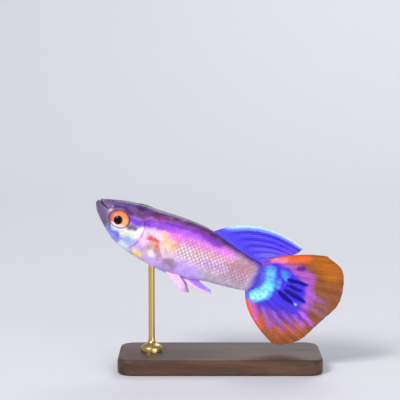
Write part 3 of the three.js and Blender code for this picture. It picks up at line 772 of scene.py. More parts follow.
root_places, root_outward, root_lie, root_x, root_turn = scale_roots()
coat_roots = point_holder("scale roots", to_room(root_places))
root_map = np.stack([root_x / BODY_LENGTH - 0.5, root_turn / (2 * math.pi), 0 * root_x], axis=-1)
on_belly = smooth(np.abs(root_turn), 0.56 * math.pi, 0.72 * math.pi)
smaller = 0.8 + 0.2 * smooth(root_x, NAPE_START, 9) - 0.16 * smooth(root_x, 22, BODY_LENGTH)
for name, kind, values in (
    ("Outward", "FLOAT_VECTOR", facing(root_outward)),
    ("Lie", "FLOAT_VECTOR", facing(root_lie)),
    ("Centre", "FLOAT_VECTOR", to_room(root_places + SCALE_MIDDLE * root_lie)),
    ("Root Map", "FLOAT_VECTOR", MAP_SHARE * root_map + (0.5, 0.5, 0)),
    ("Size", "FLOAT", smaller),
    ("Standing", "FLOAT", 1 - 0.5 * on_belly),
):
    add_layer(coat_roots, name, kind, values)
scale_paint = painted_material(
    "guppy scales",
    {"Roughness": 0.34, "Specular IOR Level": 0.22, "Coat Weight": 0.12, "Coat Roughness": 0.12},
    {"Scale": 3400, "Detail": 5, "Roughness": 0.7},
    {"From Min": 0.32, "From Max": 0.68, "To Min": 0.8, "To Max": 1.14},
    relief={"Strength": 0.12, "Distance": 0.000008},
    silver=0.5,
    pattern=horn,
)
coat = plain_mesh(coat_roots, scale_tree(scale_paint), SCALE_INPUTS, "scales")
centres = to_fish(read_layer(coat, "Centre"))
coat_x = centres[:, 0]
coat_z = centres[:, 2]
tone = 1 + 0.14 * wobble(coat_x, coat_z, 0.53, 2.1)
coat_colours = body_colours(0.75 * to_fish(read_layer(coat, "position")) + 0.25 * centres)
coat_colours = np.clip(coat_colours * tone[:, None], 0, 1)
belly_share = smooth(-coat_z, 2.4, 3.6)
tan_reach = 0.8 * smooth(coat_x, 12.8, 15.5) * (1 - smooth(coat_x, 26.0, 27.2))
tan_reach = tan_reach * (1 - smooth(np.abs(coat_z + 0.7), 1.1, 2.6))
edge_colours = lay(coat_colours * (0.87 + 0.09 * belly_share)[:, None], (tan_reach, SCALE_TAN))
add_layer(coat, "Markings", "FLOAT_COLOR", coat_colours)
add_layer(coat, "Edge Markings", "FLOAT_COLOR", edge_colours)
add_layer(coat, "Shine", "FLOAT", body_shine(centres))
coat.data.shade_smooth()
coat.data.set_sharp_from_angle(angle=math.radians(50))
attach(coat, "root")

# The eyes: glossy balls with a fibrous orange iris round a black pupil, each held in a soft rim of
# skin, with painted shade darkening the ball's edge where it meets the socket. They look a little
# forward and up, as they do in life.
LOOK_UP = 0.14
LOOK_AHEAD = 0.16
PUPIL_RADIUS = 0.66
PUPIL_LEVEL = -0.24
LENS_RADIUS = 0.78
LENS_BULGE = 0.07
EYE_RINGS = 72
EYE_AROUND = 96


def eye_place(points, side):
    """From the eye's own frame, with y outwards, to its socket in the head."""
    x, y, z = np.moveaxis(points, -1, 0)
    y, z = turned(side * y, z, -side * LOOK_UP)
    x, y = turned(x, y, -side * LOOK_AHEAD)
    return np.stack([x, y, z], axis=-1) + np.array(EYE_CENTRE) * (1, side, 1)


def iris_colours(x, z, front):
    """Pupil, pale inner ring, orange iris with a pinkish front and white lower crescent.

    Painted shade darkens the iris's upper and lower front, and the rim where the ball meets its socket.
    """
    above = z - PUPIL_LEVEL
    radius = np.hypot(x, above)
    angle = np.arctan2(above, x)
    fibres = 0.5 * np.sin(37 * angle + 3 * np.sin(5 * angle)) + 0.5 * np.sin(23 * angle + 9 * radius)
    colour = lay(
        linear((246, 138, 78)),
        (0.85 * smooth(-x, 0.35, 1.1), (186, 110, 106)),
        # Painted shade: the iris darker at its upper front
        (0.6 * smooth(above - 0.6 * x, 0.9, 1.5), (186, 100, 92)),
        (0.6 * smooth(x, 0.5, 1.2) * (1 - smooth(above, 0.3, 1.1)), (255, 190, 130)),
        (0.95 * smooth(-above + 0.15 * x, 0.4, 0.72), (238, 226, 242)),
        # Painted shade: the iris darker at its lower front, by the socket's edge
        (0.7 * smooth(-x - 0.4 * above, 0.9, 1.5), (140, 70, 88)),
    )
    colour = lay(
        colour * (1 + 0.1 * fibres * smooth(radius, 0.6, 0.9))[..., None],
        # Painted shade: the ball's rim darkened where it meets the socket
        (0.7 * smooth(np.hypot(x, z / EYE_HEIGHT_SHARE), 1.5, 1.68), (124, 66, 86)),
        (0.9 * (1 - smooth(radius, PUPIL_RADIUS + 0.02, PUPIL_RADIUS + 0.14)), (150, 70, 40)),
        (1 - smooth(radius, PUPIL_RADIUS - 0.05, PUPIL_RADIUS + 0.03), (8, 2, 16)),
        (1 - smooth(front, -0.1, 0.2), (60, 40, 60)),
    )
    return np.clip(colour, 0, 1)


def poles_last(rings):
    """The values of a ball's rings in one list, with those of its two poles at the end."""
    return np.concatenate([rings[1:-1].reshape(-1, 3), rings[:1, 0], rings[-1:, 0]])


eye_gloss = painted_material(
    "guppy eye",
    {"Roughness": 0.35, "Specular IOR Level": 0.1, "Coat Weight": 0.1, "Coat Roughness": 0.06},
    {"Scale": 9000, "Detail": 3},
    {"To Min": 0.84, "To Max": 1.14},
)
ball_turns = np.linspace(0, math.pi, EYE_RINGS)[:, None]
ball_around = np.linspace(0, 2 * math.pi, EYE_AROUND, endpoint=False)
ball_x = EYE_RADIUS * np.sin(ball_turns) * np.cos(ball_around)
ball_z = EYE_RADIUS * np.sin(ball_turns) * np.sin(ball_around) * EYE_HEIGHT_SHARE
ball_front = np.cos(ball_turns) + 0 * ball_x
lens = 1 - (np.hypot(ball_x, ball_z - PUPIL_LEVEL) / LENS_RADIUS) ** 2
ball_y = EYE_THICKNESS * ball_front + LENS_BULGE * np.where(ball_front > 0, np.clip(lens, 0, 1), 0)
ball = poles_last(np.stack([ball_x, ball_y, ball_z], axis=-1))
ball_colours = poles_last(iris_colours(ball_x, ball_z, ball_front))
ball_faces = ring_faces(EYE_RINGS - 2, EYE_AROUND, poles=True)
for side_name, side in {"left": -1, "right": 1}.items():
    faces = [face[::-side] for face in ball_faces]
    eye = add_piece("eyeball_" + side_name, to_room(eye_place(ball, side)), faces, eye_gloss, ball_colours)
    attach(eye, "root")
    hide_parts("eye_" + side_name)

# The fins: clear skin stretched over soft jointed rays that fork towards the margin, rooted in the
# body. The rays are round rods of bone, a little proud of the membrane on both faces.
MEMBRANE_HALF = 0.035
MEMBRANE_SLACK = 0.035
MARGIN_SCALLOP = 0.003
RAY_RADIUS = 0.062
RAY_TIP_RADIUS = 0.026
RAY_REACH = 0.99
RAY_INPUTS = {"Sides": 8}
FORK_SPAN = 0.3
JOINT_PITCH = 0.42
JOINT_WIDTH = 0.07
JOINT_DEPTH = 0.16
JOINTS_FROM = 0.25


def between(ends, s):
    """Points at share s of the way from the first end to the second."""
    a, b = np.array(ends, float)
    return a + s[..., None] * (b - a)


def blade(root, bend, margin, t):
    """Points at share t of the curves from root to margin, each pulled towards its bend."""
    t = t[..., None]
    return (1 - t) ** 2 * root + 2 * (1 - t) * t * bend + t**2 * margin


def off_midline(flat, out):
    """Points of a flat blade set out sideways from the middle of the fish."""
    return np.stack([flat[..., 0], sway(flat[..., 0]) + out, flat[..., 1]], axis=-1)


def smooth_path(corners, s):
    """A smooth curve through corners at share s of its length."""
    corners = np.array(corners, float)
    padded = np.concatenate([2 * corners[:1] - corners[1:2], corners, 2 * corners[-1:] - corners[-2:-1]])
    fine = np.linspace(0, len(corners) - 1, 400)
    i = np.minimum(fine.astype(int), len(corners) - 2)
    t = (fine - i)[:, None]
    p0, p1, p2, p3 = (padded[i + k] for k in range(4))
    square = (2 * p0 - 5 * p1 + 4 * p2 - p3) * t**2
    curve = 0.5 * (2 * p1 + (p2 - p0) * t + square + (3 * p1 - p0 - 3 * p2 + p3) * t**3)
    walked = path_lengths(curve)
    return np.stack([np.interp(s, walked / walked[-1], curve[:, axis]) for axis in range(2)], axis=-1)


def fin_material(name, alpha=1.0):
    """Wet membrane: markings with fine streaks of cells, a satin sheen and a thin coat."""
    gloss = {"Roughness": 0.42, "Specular IOR Level": 0.15, "Coat Weight": 0.05, "Coat Roughness": 0.2}
    cells = {"Scale": 2600, "Detail": 6, "Roughness": 0.72}
    tones = {"From Min": 0.3, "From Max": 0.7, "To Min": 0.74, "To Max": 1.2}
    relief = {"Strength": 0.3, "Distance": 0.00003}
    return painted_material(name, {**gloss, "Alpha": alpha}, cells, tones, relief)


def sheet_faces(columns, rows):
    """Faces of a thin closed sheet of two grids, joined round the margin."""
    count = (columns + 1) * (rows + 1)
    grid = np.arange(count).reshape(columns + 1, rows + 1)
    margin = np.concatenate([grid[:, 0], grid[-1, 1:], grid[-2::-1, -1], grid[0, -2::-1]]).tolist()
    faces = [(a, a + count, b + count, b) for a, b in zip(margin, margin[1:])]
    for a in grid[:-1, :-1].ravel().tolist():
        b, c, d = a + rows + 1, a + rows + 2, a + 1
        faces += [(a, b, c, d), (a + count, d + count, c + count, b + count)]
    return faces


def membrane(name, middle, rays, rows, steps, material, colour):
    """The skin of a fin between its rays: drawn in a little between the rays' tips and slack there."""
    columns = (rays - 1) * steps
    s, t = np.meshgrid(np.linspace(0, 1, columns + 1), np.linspace(0, 1, rows + 1), indexing="ij")
    valley = np.abs(np.sin(math.pi * s * (rays - 1)))
    points = middle(s, t * (1 - MARGIN_SCALLOP * valley))
    half = MEMBRANE_HALF * (1 - 0.35 * valley) * (1 - 0.4 * smooth(t, 0.85, 1))
    slack = MEMBRANE_SLACK * np.sin(2 * math.pi * s * (rays - 1)) * t
    both = np.concatenate([points, points])
    both[..., 1] += np.concatenate([slack - half, slack + half])
    tints = np.clip(np.tile(colour(s, t, points).reshape(-1, 3), (2, 1)), 0, 1)
    return add_piece(name, to_room(both.reshape(-1, 3)), sheet_faces(columns, rows), material, tints)


def ray_tree(material):
    """Geometry Nodes: a round rod along every path, as thick as its points say."""
    tree, given, result = node_group("fin rays", "Paths", RAY_INPUTS, "Rays")
    lines = add_node(tree, "GeometryNodeMeshToCurve", {"Mesh": given["Paths"]})
    section = {"Radius": 1, "Resolution": given["Sides"]}
    circle = add_node(tree, "GeometryNodeCurvePrimitiveCircle", section)
    thickness = add_node(tree, "GeometryNodeInputNamedAttribute", {"Name": "Ray Radius"}, data_type="FLOAT")
    rods = add_node(tree, "GeometryNodeCurveToMesh", {
        "Curve": lines.outputs["Curve"],
        "Profile Curve": circle.outputs["Curve"],
        "Scale": thickness.outputs["Attribute"],
        "Fill Caps": True,
    })
    real = add_node(tree, "GeometryNodeRealizeInstances", {"Geometry": rods.outputs["Mesh"]})
    finish = {"Geometry": real.outputs["Geometry"], "Material": material}
    feed(result, {"Rays": add_node(tree, "GeometryNodeSetMaterial", finish).outputs["Geometry"]})
    return tree


def fin_rays(name, middle, rays, forks, material, colour, girth=1.0, ray_steps=90):
    """The rays of a fin: each forks at the shares in forks, and is jointed outwards."""
    points = []
    radii = []
    shares = []
    edges = []
    spacing = 1 / (rays - 1)
    for ray, sides in itertools.product(range(rays), itertools.product((0, 1), repeat=len(forks))):
        t = np.linspace(0, RAY_REACH, ray_steps)
        s = np.full(ray_steps, ray * spacing)
        start = 0.0
        for level, (fork, side) in enumerate(zip(forks, sides)):
            swing = (side - 0.5) * spacing / 2 ** (level + 1)
            s = s + swing * smooth(t, fork, min(1, fork + FORK_SPAN))
            if side:
                start = fork
        own = t >= start - 1e-6
        s = np.clip(s[own], 0, 1)
        t = t[own]
        path = middle(s, t)
        joints = bell((path_lengths(path) + 0.2) % JOINT_PITCH, JOINT_WIDTH) * (t > JOINTS_FROM)
        thickness = RAY_RADIUS + (RAY_TIP_RADIUS - RAY_RADIUS) * t
        radii.extend(girth * thickness * (1 - JOINT_DEPTH * joints))
        edges.extend((i, i + 1) for i in range(len(points), len(points) + len(path) - 1))
        points.extend(path)
        shares.extend(np.stack([s, t, 0 * t], axis=-1))
    holder = point_holder(name + " paths", to_room(points), edges)
    add_layer(holder, "Ray Radius", "FLOAT", np.array(radii) * MM)
    add_layer(holder, "Share", "FLOAT_VECTOR", shares)
    piece = plain_mesh(holder, ray_tree(material), RAY_INPUTS, name)
    share = read_layer(piece, "Share")
    tints = colour(share[:, 0], share[:, 1], to_fish(read_layer(piece, "position")), ray=True)
    add_layer(piece, "Markings", "FLOAT_COLOR", np.clip(tints, 0, 1))
    piece.data.shade_smooth()
    return piece


def add_fin(names, node, slot, shape, colour, rays, forks, rows, steps, skin, ray_skin=None, **ray_look):
    """A fin of shape: its membrane, which stands for the solid, and its rays."""
    sheet = membrane(names[0], shape, rays, rows, steps, skin, colour)
    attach(sheet, "root")
    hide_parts(node)
    rods = fin_rays(names[1], shape, rays, forks, ray_skin or skin, colour, **ray_look)
    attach(rods, "root")


def streaks(s, t, rays, seed):
    """Uneven streaks of cells that run along the rays, between about -1 and 1."""
    across = s * (rays - 1)
    slow = np.sin(2 * math.pi * (0.77 * across + 0.13 * seed) + 1.3 * np.sin(3.1 * t + seed))
    fast = np.sin(2 * math.pi * (2.31 * across + 0.37 * seed) + 2.1 * np.sin(4.3 * t + 2 * seed))
    return 0.6 * slow + 0.4 * fast


# The tail fin: a wide fan of forked rays, aqua and deep blue by its root, orange to the margin. It
# stands in gentle folds, and the rays spread from a root that the tail stem's end covers.
TAIL_RAYS = 17
TAIL_ROOT = ((27.1, 1.75), (27.1, -2.65))
TAIL_FLARE_TOP = np.array((-0.4, 1.35))
TAIL_FLARE_BOTTOM = np.array((-2.65, -0.8))
TAIL_FOLD_DEPTH = 0.75
TAIL_FOLDS = 1.25
TAIL_FOLD_START = 0.05
TAIL_GROUND = (134, 78, 42)
TAIL_MARGIN = [
    (36.5, 7.4),
    (39.45, 6.45),
    (40.8, 3.93),
    (41.05, 1.26),
    (40.1, -1.26),
    (39.3, -3.3),
    (38.2, -6.3),
    (36.2, -8.26),
    (34.6, -8.85),
]
TAIL_STROKES = [
    # Orange margin, amber above and brown at the rear, with the red upper and front edges
    ([(35.5, 6.6), (38.4, 5.4)], 1.5, 1.0, (176, 98, 20), 0.95),
    ([(29.4, 3.3), (31.4, 4.4), (33.6, 5.7)], 0.75, 0.6, (230, 98, 52), 0.98),
    ([(29.0, 2.9), (30.8, 3.9)], 0.38, 0.35, (236, 138, 168), 0.85),
    ([(28.3, -3.9), (29.6, -5.6), (31.6, -7.4)], 0.8, 0.6, (238, 92, 76), 0.92),
    ([(33.0, -8.2), (36.5, -7.3), (38.2, -5.4)], 1.3, 0.9, (156, 88, 52), 0.9),
    ([(31.4, -6.2), (34.4, -6.6), (37.0, -4.8)], 0.9, 0.8, (196, 98, 86), 0.75),
    ([(38.8, 0.8), (39.6, -1.4)], 0.8, 0.7, (130, 84, 92), 0.75),
    # Purple zone between the blue and the orange, breaking up into streaks below
    ([(30.8, 2.6), (33.2, 3.2), (35.4, 2.9)], 0.95, 0.6, (164, 84, 178), 0.9),
    ([(35.4, 2.2), (36.5, 0.8), (36.6, -1.2)], 0.75, 0.6, (158, 84, 200), 0.85),
    ([(35.8, 0.9), (38.2, 0.6)], 0.3, 0.35, (170, 92, 190), 0.6),
    ([(36.2, -0.6), (38.4, -0.9)], 0.25, 0.3, (170, 92, 190), 0.55),
    ([(30.6, -4.2), (33.8, -4.2), (36.6, -2.6)], 0.9, 0.6, (108, 56, 176), 0.9),
    ([(30.6, -4.0), (32.7, -6.3)], 0.32, 0.3, (160, 96, 206), 0.9),
    ([(31.7, -4.1), (33.9, -6.2)], 0.28, 0.28, (140, 80, 180), 0.8),
    ([(32.5, -4.2), (34.9, -5.8)], 0.3, 0.3, (154, 92, 196), 0.9),
    ([(33.5, -3.3), (36.3, -4.9)], 0.3, 0.3, (146, 84, 196), 0.85),
    ([(34.6, -2.8), (37.4, -4.0)], 0.28, 0.28, (180, 96, 226), 0.8),
    ([(35.2, -1.8), (38.6, -3.2)], 0.3, 0.3, (184, 100, 230), 0.85),
    ([(29.2, -4.6), (30.6, -6.3)], 0.34, 0.3, (182, 100, 196), 0.9),
    # Violet blue over the whole root, deep blue beyond the aqua patch
    ([(27.6, 1.4), (28.9, -0.6), (28.2, -2.8)], 1.35, 0.5, (96, 88, 220), 0.99),
    ([(28.0, 2.3), (29.4, 2.5)], 0.55, 0.45, (130, 66, 190), 0.9),
    ([(30.3, 1.9), (32.2, 1.7), (34.4, 0.9), (35.0, -0.5), (33.4, -2.0), (31.2, -1.0)],
     1.2, 0.4, (66, 42, 222), 0.98),
    ([(29.6, -3.6), (32.4, -3.2), (35.6, -2.3)], 0.75, 0.45, (70, 50, 202), 0.94),
    ([(30.6, 0.9), (30.8, -1.2), (31.6, -2.4)], 0.95, 0.5, (70, 50, 224), 0.98),
    ([(32.3, 0.4), (33.6, -0.3)], 0.85, 0.35, (70, 46, 222), 0.98),
    ([(33.3, 3.65), (34.0, 4.2)], 0.3, 0.2, (92, 20, 136), 0.95),
]
TAIL_PATCHES = [
    # Aqua patch, blue at the top and brightest low down, and its outliers
    ([(29.5, 1.5), (30.0, 0.4), (30.3, -0.6)], 0.85, 0.3, (76, 150, 255), 0.95),
    ([(30.2, -0.9), (30.1, -2.0), (28.9, -3.2)], 1.05, 0.3, (80, 168, 255), 0.95),
    ([(29.6, 1.2), (29.9, 0.3), (30.2, -0.8)], 0.55, 0.3, (108, 196, 255), 0.9),
    ([(30.1, -1.2), (29.8, -2.3), (28.9, -3.2)], 0.75, 0.35, (124, 226, 255), 0.95),
    ([(30.2, -2.2), (29.4, -3.0), (28.7, -3.4)], 0.4, 0.3, (176, 250, 252), 0.9),
    ([(31.2, 2.3), (32.2, 2.1)], 0.42, 0.25, (80, 100, 232), 0.8),
    ([(31.5, 1.9), (32.2, 1.5)], 0.42, 0.22, (56, 146, 255), 0.95),
    ([(31.3, 0.6), (31.6, -0.4)], 0.3, 0.25, (84, 146, 255), 0.85),
    ([(34.9, -1.55), (35.2, -1.5)], 0.16, 0.14, (150, 200, 255), 0.85),
    ([(30.4, 1.8), (30.6, 2.2)], 0.2, 0.16, (66, 50, 150), 0.8),
]
TAIL_BARS = [
    # Navy bars between the rays, each a thin line with a fuller middle
    ([(32.6, 1.45), (35.4, 1.98)], 0.2, 0.13, (4, 0, 128), 0.98),
    ([(33.1, 1.55), (34.9, 1.88)], 0.32, 0.15, (4, 0, 124), 0.98),
    ([(32.7, 0.52), (35.2, 0.75)], 0.17, 0.12, (6, 0, 136), 0.96),
    ([(33.3, 0.58), (34.8, 0.72)], 0.27, 0.14, (6, 0, 130), 0.96),
    ([(32.7, -0.2), (36.1, -0.52)], 0.21, 0.13, (4, 0, 126), 0.98),
    ([(33.3, -0.28), (35.5, -0.47)], 0.37, 0.16, (4, 0, 122), 0.98),
    ([(32.0, -0.9), (34.8, -1.65)], 0.21, 0.14, (10, 4, 124), 0.96),
    ([(32.3, -1.02), (34.1, -1.52)], 0.37, 0.17, (10, 2, 120), 0.96),
]


def tail_middle(s, t):
    root = between(TAIL_ROOT, s)
    margin = smooth_path(TAIL_MARGIN, s)
    bend = (root + margin) / 2
    bend = bend + (np.maximum(0, 1 - 2 * s) ** 2)[..., None] * TAIL_FLARE_TOP
    bend = bend + (np.maximum(0, 2 * s - 1) ** 2)[..., None] * TAIL_FLARE_BOTTOM
    fold = TAIL_FOLD_DEPTH * t**2 * np.sin(2 * math.pi * (TAIL_FOLDS * s + TAIL_FOLD_START))
    return off_midline(blade(root, bend, margin, t), fold)


def grains(x, z, size):
    """Small soft grains of pigment, between 0 and 1."""
    def corner(i, j):
        value = np.sin(i * 127.1 + j * 311.7) * 43758.5
        return value - np.floor(value)

    i = np.floor(x / size)
    j = np.floor(z / size)
    u = smooth(x / size - i, 0, 1)
    v = smooth(z / size - j, 0, 1)
    low = corner(i, j) * (1 - u) + corner(i + 1, j) * u
    high = corner(i, j + 1) * (1 - u) + corner(i + 1, j + 1) * u
    return low * (1 - v) + high * v


def tail_colours(s, t, points, ray=False):
    x = points[..., 0]
    z = points[..., 2]
    streak = streaks(s, t, TAIL_RAYS, 1.0)
    streaked_x = x - 0.2 * streak * smooth(t, 0.2, 0.6)
    plain = paint(streaked_x, z + 0.06 * streak, linear(TAIL_GROUND), TAIL_STROKES)
    patched = paint(x, z, plain, TAIL_PATCHES, unevenness=0.45)
    cells = smooth(grains(x, z, 0.22), 0.18, 0.5)
    colour = plain + (0.6 + 0.4 * cells)[..., None] * (patched - plain)
    colour = paint(x, z, colour, TAIL_BARS, unevenness=0.6)
    tone = (1 + 0.16 * streaks(s, t, TAIL_RAYS, 4.0)) * (0.94 if ray else 1)
    return colour * tone[..., None]


add_fin(
    ("tail_membrane", "tail_rays"), "tail_fin", "tail_fin", tail_middle, tail_colours,
    rays=TAIL_RAYS, forks=(0.34, 0.66), rows=150, steps=16, skin=fin_material("tail fin skin"),
)

# The dorsal fin: eight swept rays arched over the back, blue violet with a pale upper edge. It is
# rooted along the ridge of the back and leans a little to the right.
DORSAL_RAYS = 8
DORSAL_ROOT = ((18.2, 2.6), (26.9, 1.3))
DORSAL_MARGIN = ((32.7, 6.75), (29.6, 3.85))
DORSAL_ARCH = ((-1.95, 4.0), (-0.3, 0.35))
DORSAL_MARGIN_SWELL = 0.6
DORSAL_LEAN = 0.27


def dorsal_middle(s, t):
    root = between(DORSAL_ROOT, s)
    margin = between(DORSAL_MARGIN, s)
    margin[..., 0] += DORSAL_MARGIN_SWELL * np.sin(math.pi * s)
    flat = blade(root, (root + margin) / 2 + between(DORSAL_ARCH, s), margin, t)
    return off_midline(flat, DORSAL_LEAN * np.maximum(0, flat[..., 1] - along(BACK, flat[..., 0])))


def dorsal_colours(s, t, points, ray=False):
    streak = streaks(s, t, DORSAL_RAYS, 2.0)
    edge = s + 0.012 * streak
    colour = lay(
        linear((72, 56, 222)),
        (0.85 * smooth(s, 0.5, 0.95) * smooth(t, 0.1, 0.5), (120, 106, 255)),
        (0.5 * smooth(-streak, 0.1, 0.8) * smooth(t, 0.1, 0.4), (118, 104, 255)),
        (0.85 * smooth(streak, 0.15, 0.7) * smooth(t, 0.1, 0.35), (44, 22, 176)),
        (0.6 * smooth(t, 0.75, 1.0) * smooth(s, 0.1, 0.5), (132, 84, 236)),
        (0.5 * smooth(t, 0.86, 1.0) * smooth(s, 0.5, 0.9), (210, 90, 190)),
        (0.85 * (1 - smooth(edge, 0.06, 0.17)) * smooth(t, 0.1, 0.35), (126, 150, 250)),
        (0.95 * (1 - smooth(edge, 0.02, 0.075)) * smooth(t, 0.12, 0.3), (186, 232, 255)),
        (0.7 * (1 - smooth(t, 0.02, 0.2)), (102, 82, 214)),
    )
    return colour * (1 - 0.2 * ray * smooth(s, 0.02, 0.1))[..., None]


add_fin(
    ("dorsal_membrane", "dorsal_rays"), "dorsal_fin", "dorsal_fin", dorsal_middle, dorsal_colours,
    rays=DORSAL_RAYS, forks=(0.45, 0.75), rows=80, steps=20, skin=fin_material("dorsal fin skin"),
)

# The gonopodium: the male's narrow anal fin of a few stout rays, laid back under the belly. Its skin
# is violet, and pinkish white along its front edge.
GONOPODIUM_ROOT = ((19.2, -4.1), (16.6, -4.8))
GONOPODIUM_BEND = ((19.9, -5.3), (18.3, -6.7))
GONOPODIUM_TIP = ((22.2, -5.3), (22.65, -5.88))


def gonopodium_middle(s, t):
    root, bend, tip = (between(ends, s) for ends in (GONOPODIUM_ROOT, GONOPODIUM_BEND, GONOPODIUM_TIP))
    return off_midline(blade(root, bend, tip, t), 0)


def gonopodium_colours(s, t, points, ray=False):
    pale_front = (0.8 * smooth(s, 0.5, 0.85), (246, 214, 250))
    pale_tip = (0.5 * smooth(t, 0.7, 1.0), (196, 176, 236))
    return lay(linear((168, 122, 248)), pale_front, pale_tip) * (0.9 if ray else 1)


pale_skin = fin_material("pale fin skin")
add_fin(
    ("gonopodium_skin", "gonopodium_rays"), "gonopodium", "pale_fin", gonopodium_middle,
    gonopodium_colours, rays=4, forks=(), rows=40, steps=8, skin=pale_skin, girth=1.9,
)

# The pelvic fins: a pair of small pointed blades of skin over soft rays, pinkish white, rooted side by
# side under the belly.
PELVIC_ROOT = ((16.2, -5.1), (14.0, -5.2))
PELVIC_MARGIN = ((19.1, -6.55), (19.0, -7.4))
PELVIC_ARCH = ((0, 0), (-0.5, -0.35))
PELVIC_ROOT_SPREAD = 0.62
PELVIC_TIP_SPREAD = 1.35
PELVIC_FAR_REACH = -0.07
PELVIC_LONGEST_RAY = 0.8
PELVIC_SHORTENING = 0.5


def pelvic_middle(side, s, t):
    root = between(PELVIC_ROOT, s)
    margin = between(PELVIC_MARGIN, s)
    shortening = side * PELVIC_FAR_REACH + PELVIC_SHORTENING * (s - PELVIC_LONGEST_RAY) ** 2
    margin = margin + shortening[..., None] * (root - margin)
    spread = PELVIC_ROOT_SPREAD + t * (PELVIC_TIP_SPREAD - PELVIC_ROOT_SPREAD)
    flat = blade(root, (root + margin) / 2 + between(PELVIC_ARCH, s), margin, t)
    return off_midline(flat, side * spread)


def pelvic_colours(s, t, points, ray=False):
    pink_front = (0.6 * smooth(s, 0.4, 1.0), (250, 206, 226))
    dusky_tip = (0.6 * smooth(t, 0.75, 1.0), (176, 140, 190))
    return lay(linear((238, 190, 240)), pink_front, dusky_tip) * (0.88 if ray else 1)


for side_name, side in {"left": -1, "right": 1}.items():
    add_fin(
        ("pelvic_membrane_" + side_name, "pelvic_rays_" + side_name), "pelvic_fin_" + side_name,
        "pale_fin", functools.partial(pelvic_middle, side), pelvic_colours,
        rays=6, forks=(0.5,), rows=36, steps=8, skin=pale_skin, ray_steps=50,
    )

# The pectoral fins: a pair of rounded fans of nearly clear skin and fine rays, rooted in fleshy lobes
# behind the gill covers and held off the body.
PECTORAL_ROOT = (9.35, -2.95)
PECTORAL_SUNK = 0.55
PECTORAL_LENGTH = 4.7
PECTORAL_ROOT_HEIGHT = 1.15
PECTORAL_TOP = math.radians(24)
PECTORAL_BOTTOM = math.radians(-34)
PECTORAL_STAND_OFF = math.radians(31)
PECTORAL_DROOP = math.radians(9)
PECTORAL_CURL = -0.35
PECTORAL_LONGEST_RAY = 0.42
PECTORAL_SHORTENING = 0.88


def pectoral_middle(side, s, t):
    angle = PECTORAL_TOP + s * (PECTORAL_BOTTOM - PECTORAL_TOP)
    reach = t * PECTORAL_LENGTH * (1 - PECTORAL_SHORTENING * (s - PECTORAL_LONGEST_RAY) ** 2)
    up = (0.5 - s) * PECTORAL_ROOT_HEIGHT + reach * np.sin(angle)
    x, z = turned(reach * np.cos(angle), up, PECTORAL_DROOP)
    x, y = turned(x, PECTORAL_CURL * t**2, PECTORAL_STAND_OFF)
    y = side * (along(HALF, PECTORAL_ROOT[0]) - PECTORAL_SUNK - y)
    return np.stack([x + PECTORAL_ROOT[0], y, z + PECTORAL_ROOT[1]], axis=-1)


def pectoral_colours(s, t, points, ray=False):
    orange_root = (0.8 * (1 - smooth(t, 0.05, 0.35)), (240, 170, 130))
    return lay(linear((246, 226, 222)), orange_root) * (0.8 if ray else 1)


clear_skin = fin_material("clear fin skin", alpha=0.06)
clear_ray = fin_material("clear fin ray", alpha=0.16)
for side_name, side in {"left": -1, "right": 1}.items():
    add_fin(
        ("pectoral_membrane_" + side_name, "pectoral_rays_" + side_name), "pectoral_fin_" + side_name,
        "clear_fin", functools.partial(pectoral_middle, side), pectoral_colours,
        rays=12, forks=(0.55,), rows=36, steps=6, skin=clear_skin, ray_skin=clear_ray,
        girth=0.75, ray_steps=46,
    )

# The stand: a walnut plinth with eased edges, oiled dark, and a slim turned brass rod on a small foot
# that is pressed into it and meets the belly at its top.
BASE_CORNER = 0.0025
BASE_EDGE = 0.0005
CORNER_STEPS = 14
EDGE_STEPS = 5
base_low, base_high = (Vector(corner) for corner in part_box("stand_base"))
rod_low, rod_high = (Vector(corner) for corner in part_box("stand_rod"))


def rounded_ring(inset, z):
    """The plinth's outline, drawn in by inset, at height z."""
    half_x = (base_high.x - base_low.x) / 2 - BASE_CORNER
    half_y = (base_high.y - base_low.y) / 2 - BASE_CORNER
    radius = BASE_CORNER - inset
    ring = []
    for quarter, (sx, sy) in enumerate(((1, 1), (-1, 1), (-1, -1), (1, -1))):
        for step in range(CORNER_STEPS + 1):
            turn = math.pi / 2 * (quarter + step / CORNER_STEPS)
            ring.append((sx * half_x + radius * math.cos(turn), sy * half_y + radius * math.sin(turn), z))
    return ring


def stretched_noise(tree, stretch, **inputs):
    """Noise drawn out along one axis of the room."""
    place = {"Vector": add_node(tree, "ShaderNodeTexCoord").outputs["Object"], "Scale": stretch}
    drawn = add_node(tree, "ShaderNodeMapping", place).outputs["Vector"]
    return add_node(tree, "ShaderNodeTexNoise", {"Vector": drawn, **inputs}).outputs["Fac"]


def walnut():
    """Dark oiled walnut: long grain lines that wander, with pores."""
    gloss = {"Roughness": 0.5, "Specular IOR Level": 0.3, "Coat Weight": 0.08, "Coat Roughness": 0.3}
    material, tree, shader = new_material("oiled walnut", gloss)
    figure = stretched_noise(tree, (0.12, 1, 1), Scale=420, Detail=6, Distortion=0.8)
    pores = stretched_noise(tree, (0.12, 1, 1), Scale=3800, Detail=3)
    tones = add_node(tree, "ShaderNodeValToRGB", {"Fac": figure})
    dark, light = tones.color_ramp.elements
    dark.position = 0.3
    dark.color = (0.020, 0.010, 0.006, 1)
    light.position = 0.72
    light.color = (0.115, 0.056, 0.030, 1)
    level = add_node(tree, "ShaderNodeMapRange", {"Value": pores, "To Min": 0.7, "To Max": 1.25})
    grain = {0: tones.outputs["Color"], "Scale": level.outputs["Result"]}
    bump = add_node(tree, "ShaderNodeBump", {"Strength": 0.2, "Distance": 0.00005, "Height": pores})
    feed(shader, {
        "Base Color": add_node(tree, "ShaderNodeVectorMath", grain, operation="SCALE").outputs["Vector"],
        "Normal": bump.outputs["Normal"],
    })
    return material


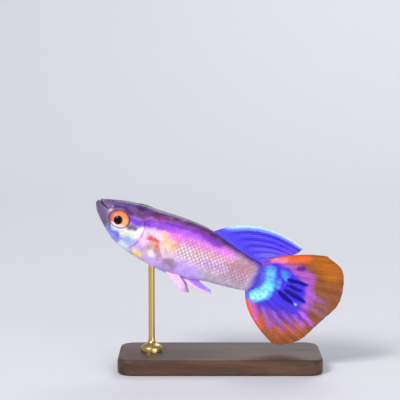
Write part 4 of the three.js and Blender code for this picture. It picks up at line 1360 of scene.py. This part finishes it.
def brushed_brass():
    """Brass drawn and brushed along the rod, lacquered."""
    metal = {"Base Color": (0.62, 0.42, 0.16, 1), "Metallic": 1}
    material, tree, shader = new_material("brushed brass", metal)
    lines = stretched_noise(tree, (1, 1, 0.06), Scale=9000, Detail=3)
    level = add_node(tree, "ShaderNodeMapRange", {"Value": lines, "To Min": 0.2, "To Max": 0.42})
    feed(shader, {"Roughness": level.outputs["Result"]})
    return material


base_points = []
for step in range(2 * EDGE_STEPS + 2):
    on_top = step > EDGE_STEPS
    turn = math.pi / 2 * (step - on_top * (EDGE_STEPS + 1)) / EDGE_STEPS
    inset = BASE_EDGE * (1 - (math.cos(turn) if on_top else math.sin(turn)))
    fall = BASE_EDGE * (1 - (math.sin(turn) if on_top else math.cos(turn)))
    base_points += rounded_ring(inset, base_high.z - fall if on_top else base_low.z + fall)
base_faces = [face[::-1] for face in ring_faces(2 * EDGE_STEPS + 2, 4 * CORNER_STEPS + 4)]
plinth = add_piece("plinth", base_points, base_faces, walnut())
plinth.data.set_sharp_from_angle(angle=math.radians(40))
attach(plinth, "root")
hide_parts("stand_base")

ROD_RADIUS = 0.0005
ROD_AROUND = 40
ROD_SINK = 0.0005
foot_radius = (rod_high.x - rod_low.x) / 2
rod_x = (rod_low.x + rod_high.x) / 2
rod_y = (rod_low.y + rod_high.y) / 2
rod_profile = [
    (foot_radius * 0.999, base_high.z),
    (foot_radius, base_high.z + 0.0006),
    (foot_radius * 0.97, base_high.z + 0.00072),
    (foot_radius * 0.75, base_high.z + 0.00108),
    (foot_radius * 0.5, base_high.z + 0.00125),
    (ROD_RADIUS + 0.00015, base_high.z + 0.00145),
    (ROD_RADIUS + 0.00003, base_high.z + 0.0018),
    (ROD_RADIUS, base_high.z + 0.0022),
    (ROD_RADIUS, (base_high.z + rod_high.z) / 2),
    (ROD_RADIUS, rod_high.z + ROD_SINK),
]
rod_points = []
for (radius, z), step in itertools.product(rod_profile, range(ROD_AROUND)):
    turn = 2 * math.pi * step / ROD_AROUND
    rod_points.append((rod_x + radius * math.cos(turn), rod_y + radius * math.sin(turn), z))
rod_faces = [face[::-1] for face in ring_faces(len(rod_profile), ROD_AROUND)]
rod = add_piece("rod", rod_points, rod_faces, brushed_brass())
rod.data.set_sharp_from_angle(angle=math.radians(50))
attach(rod, "root")
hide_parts("stand_rod")
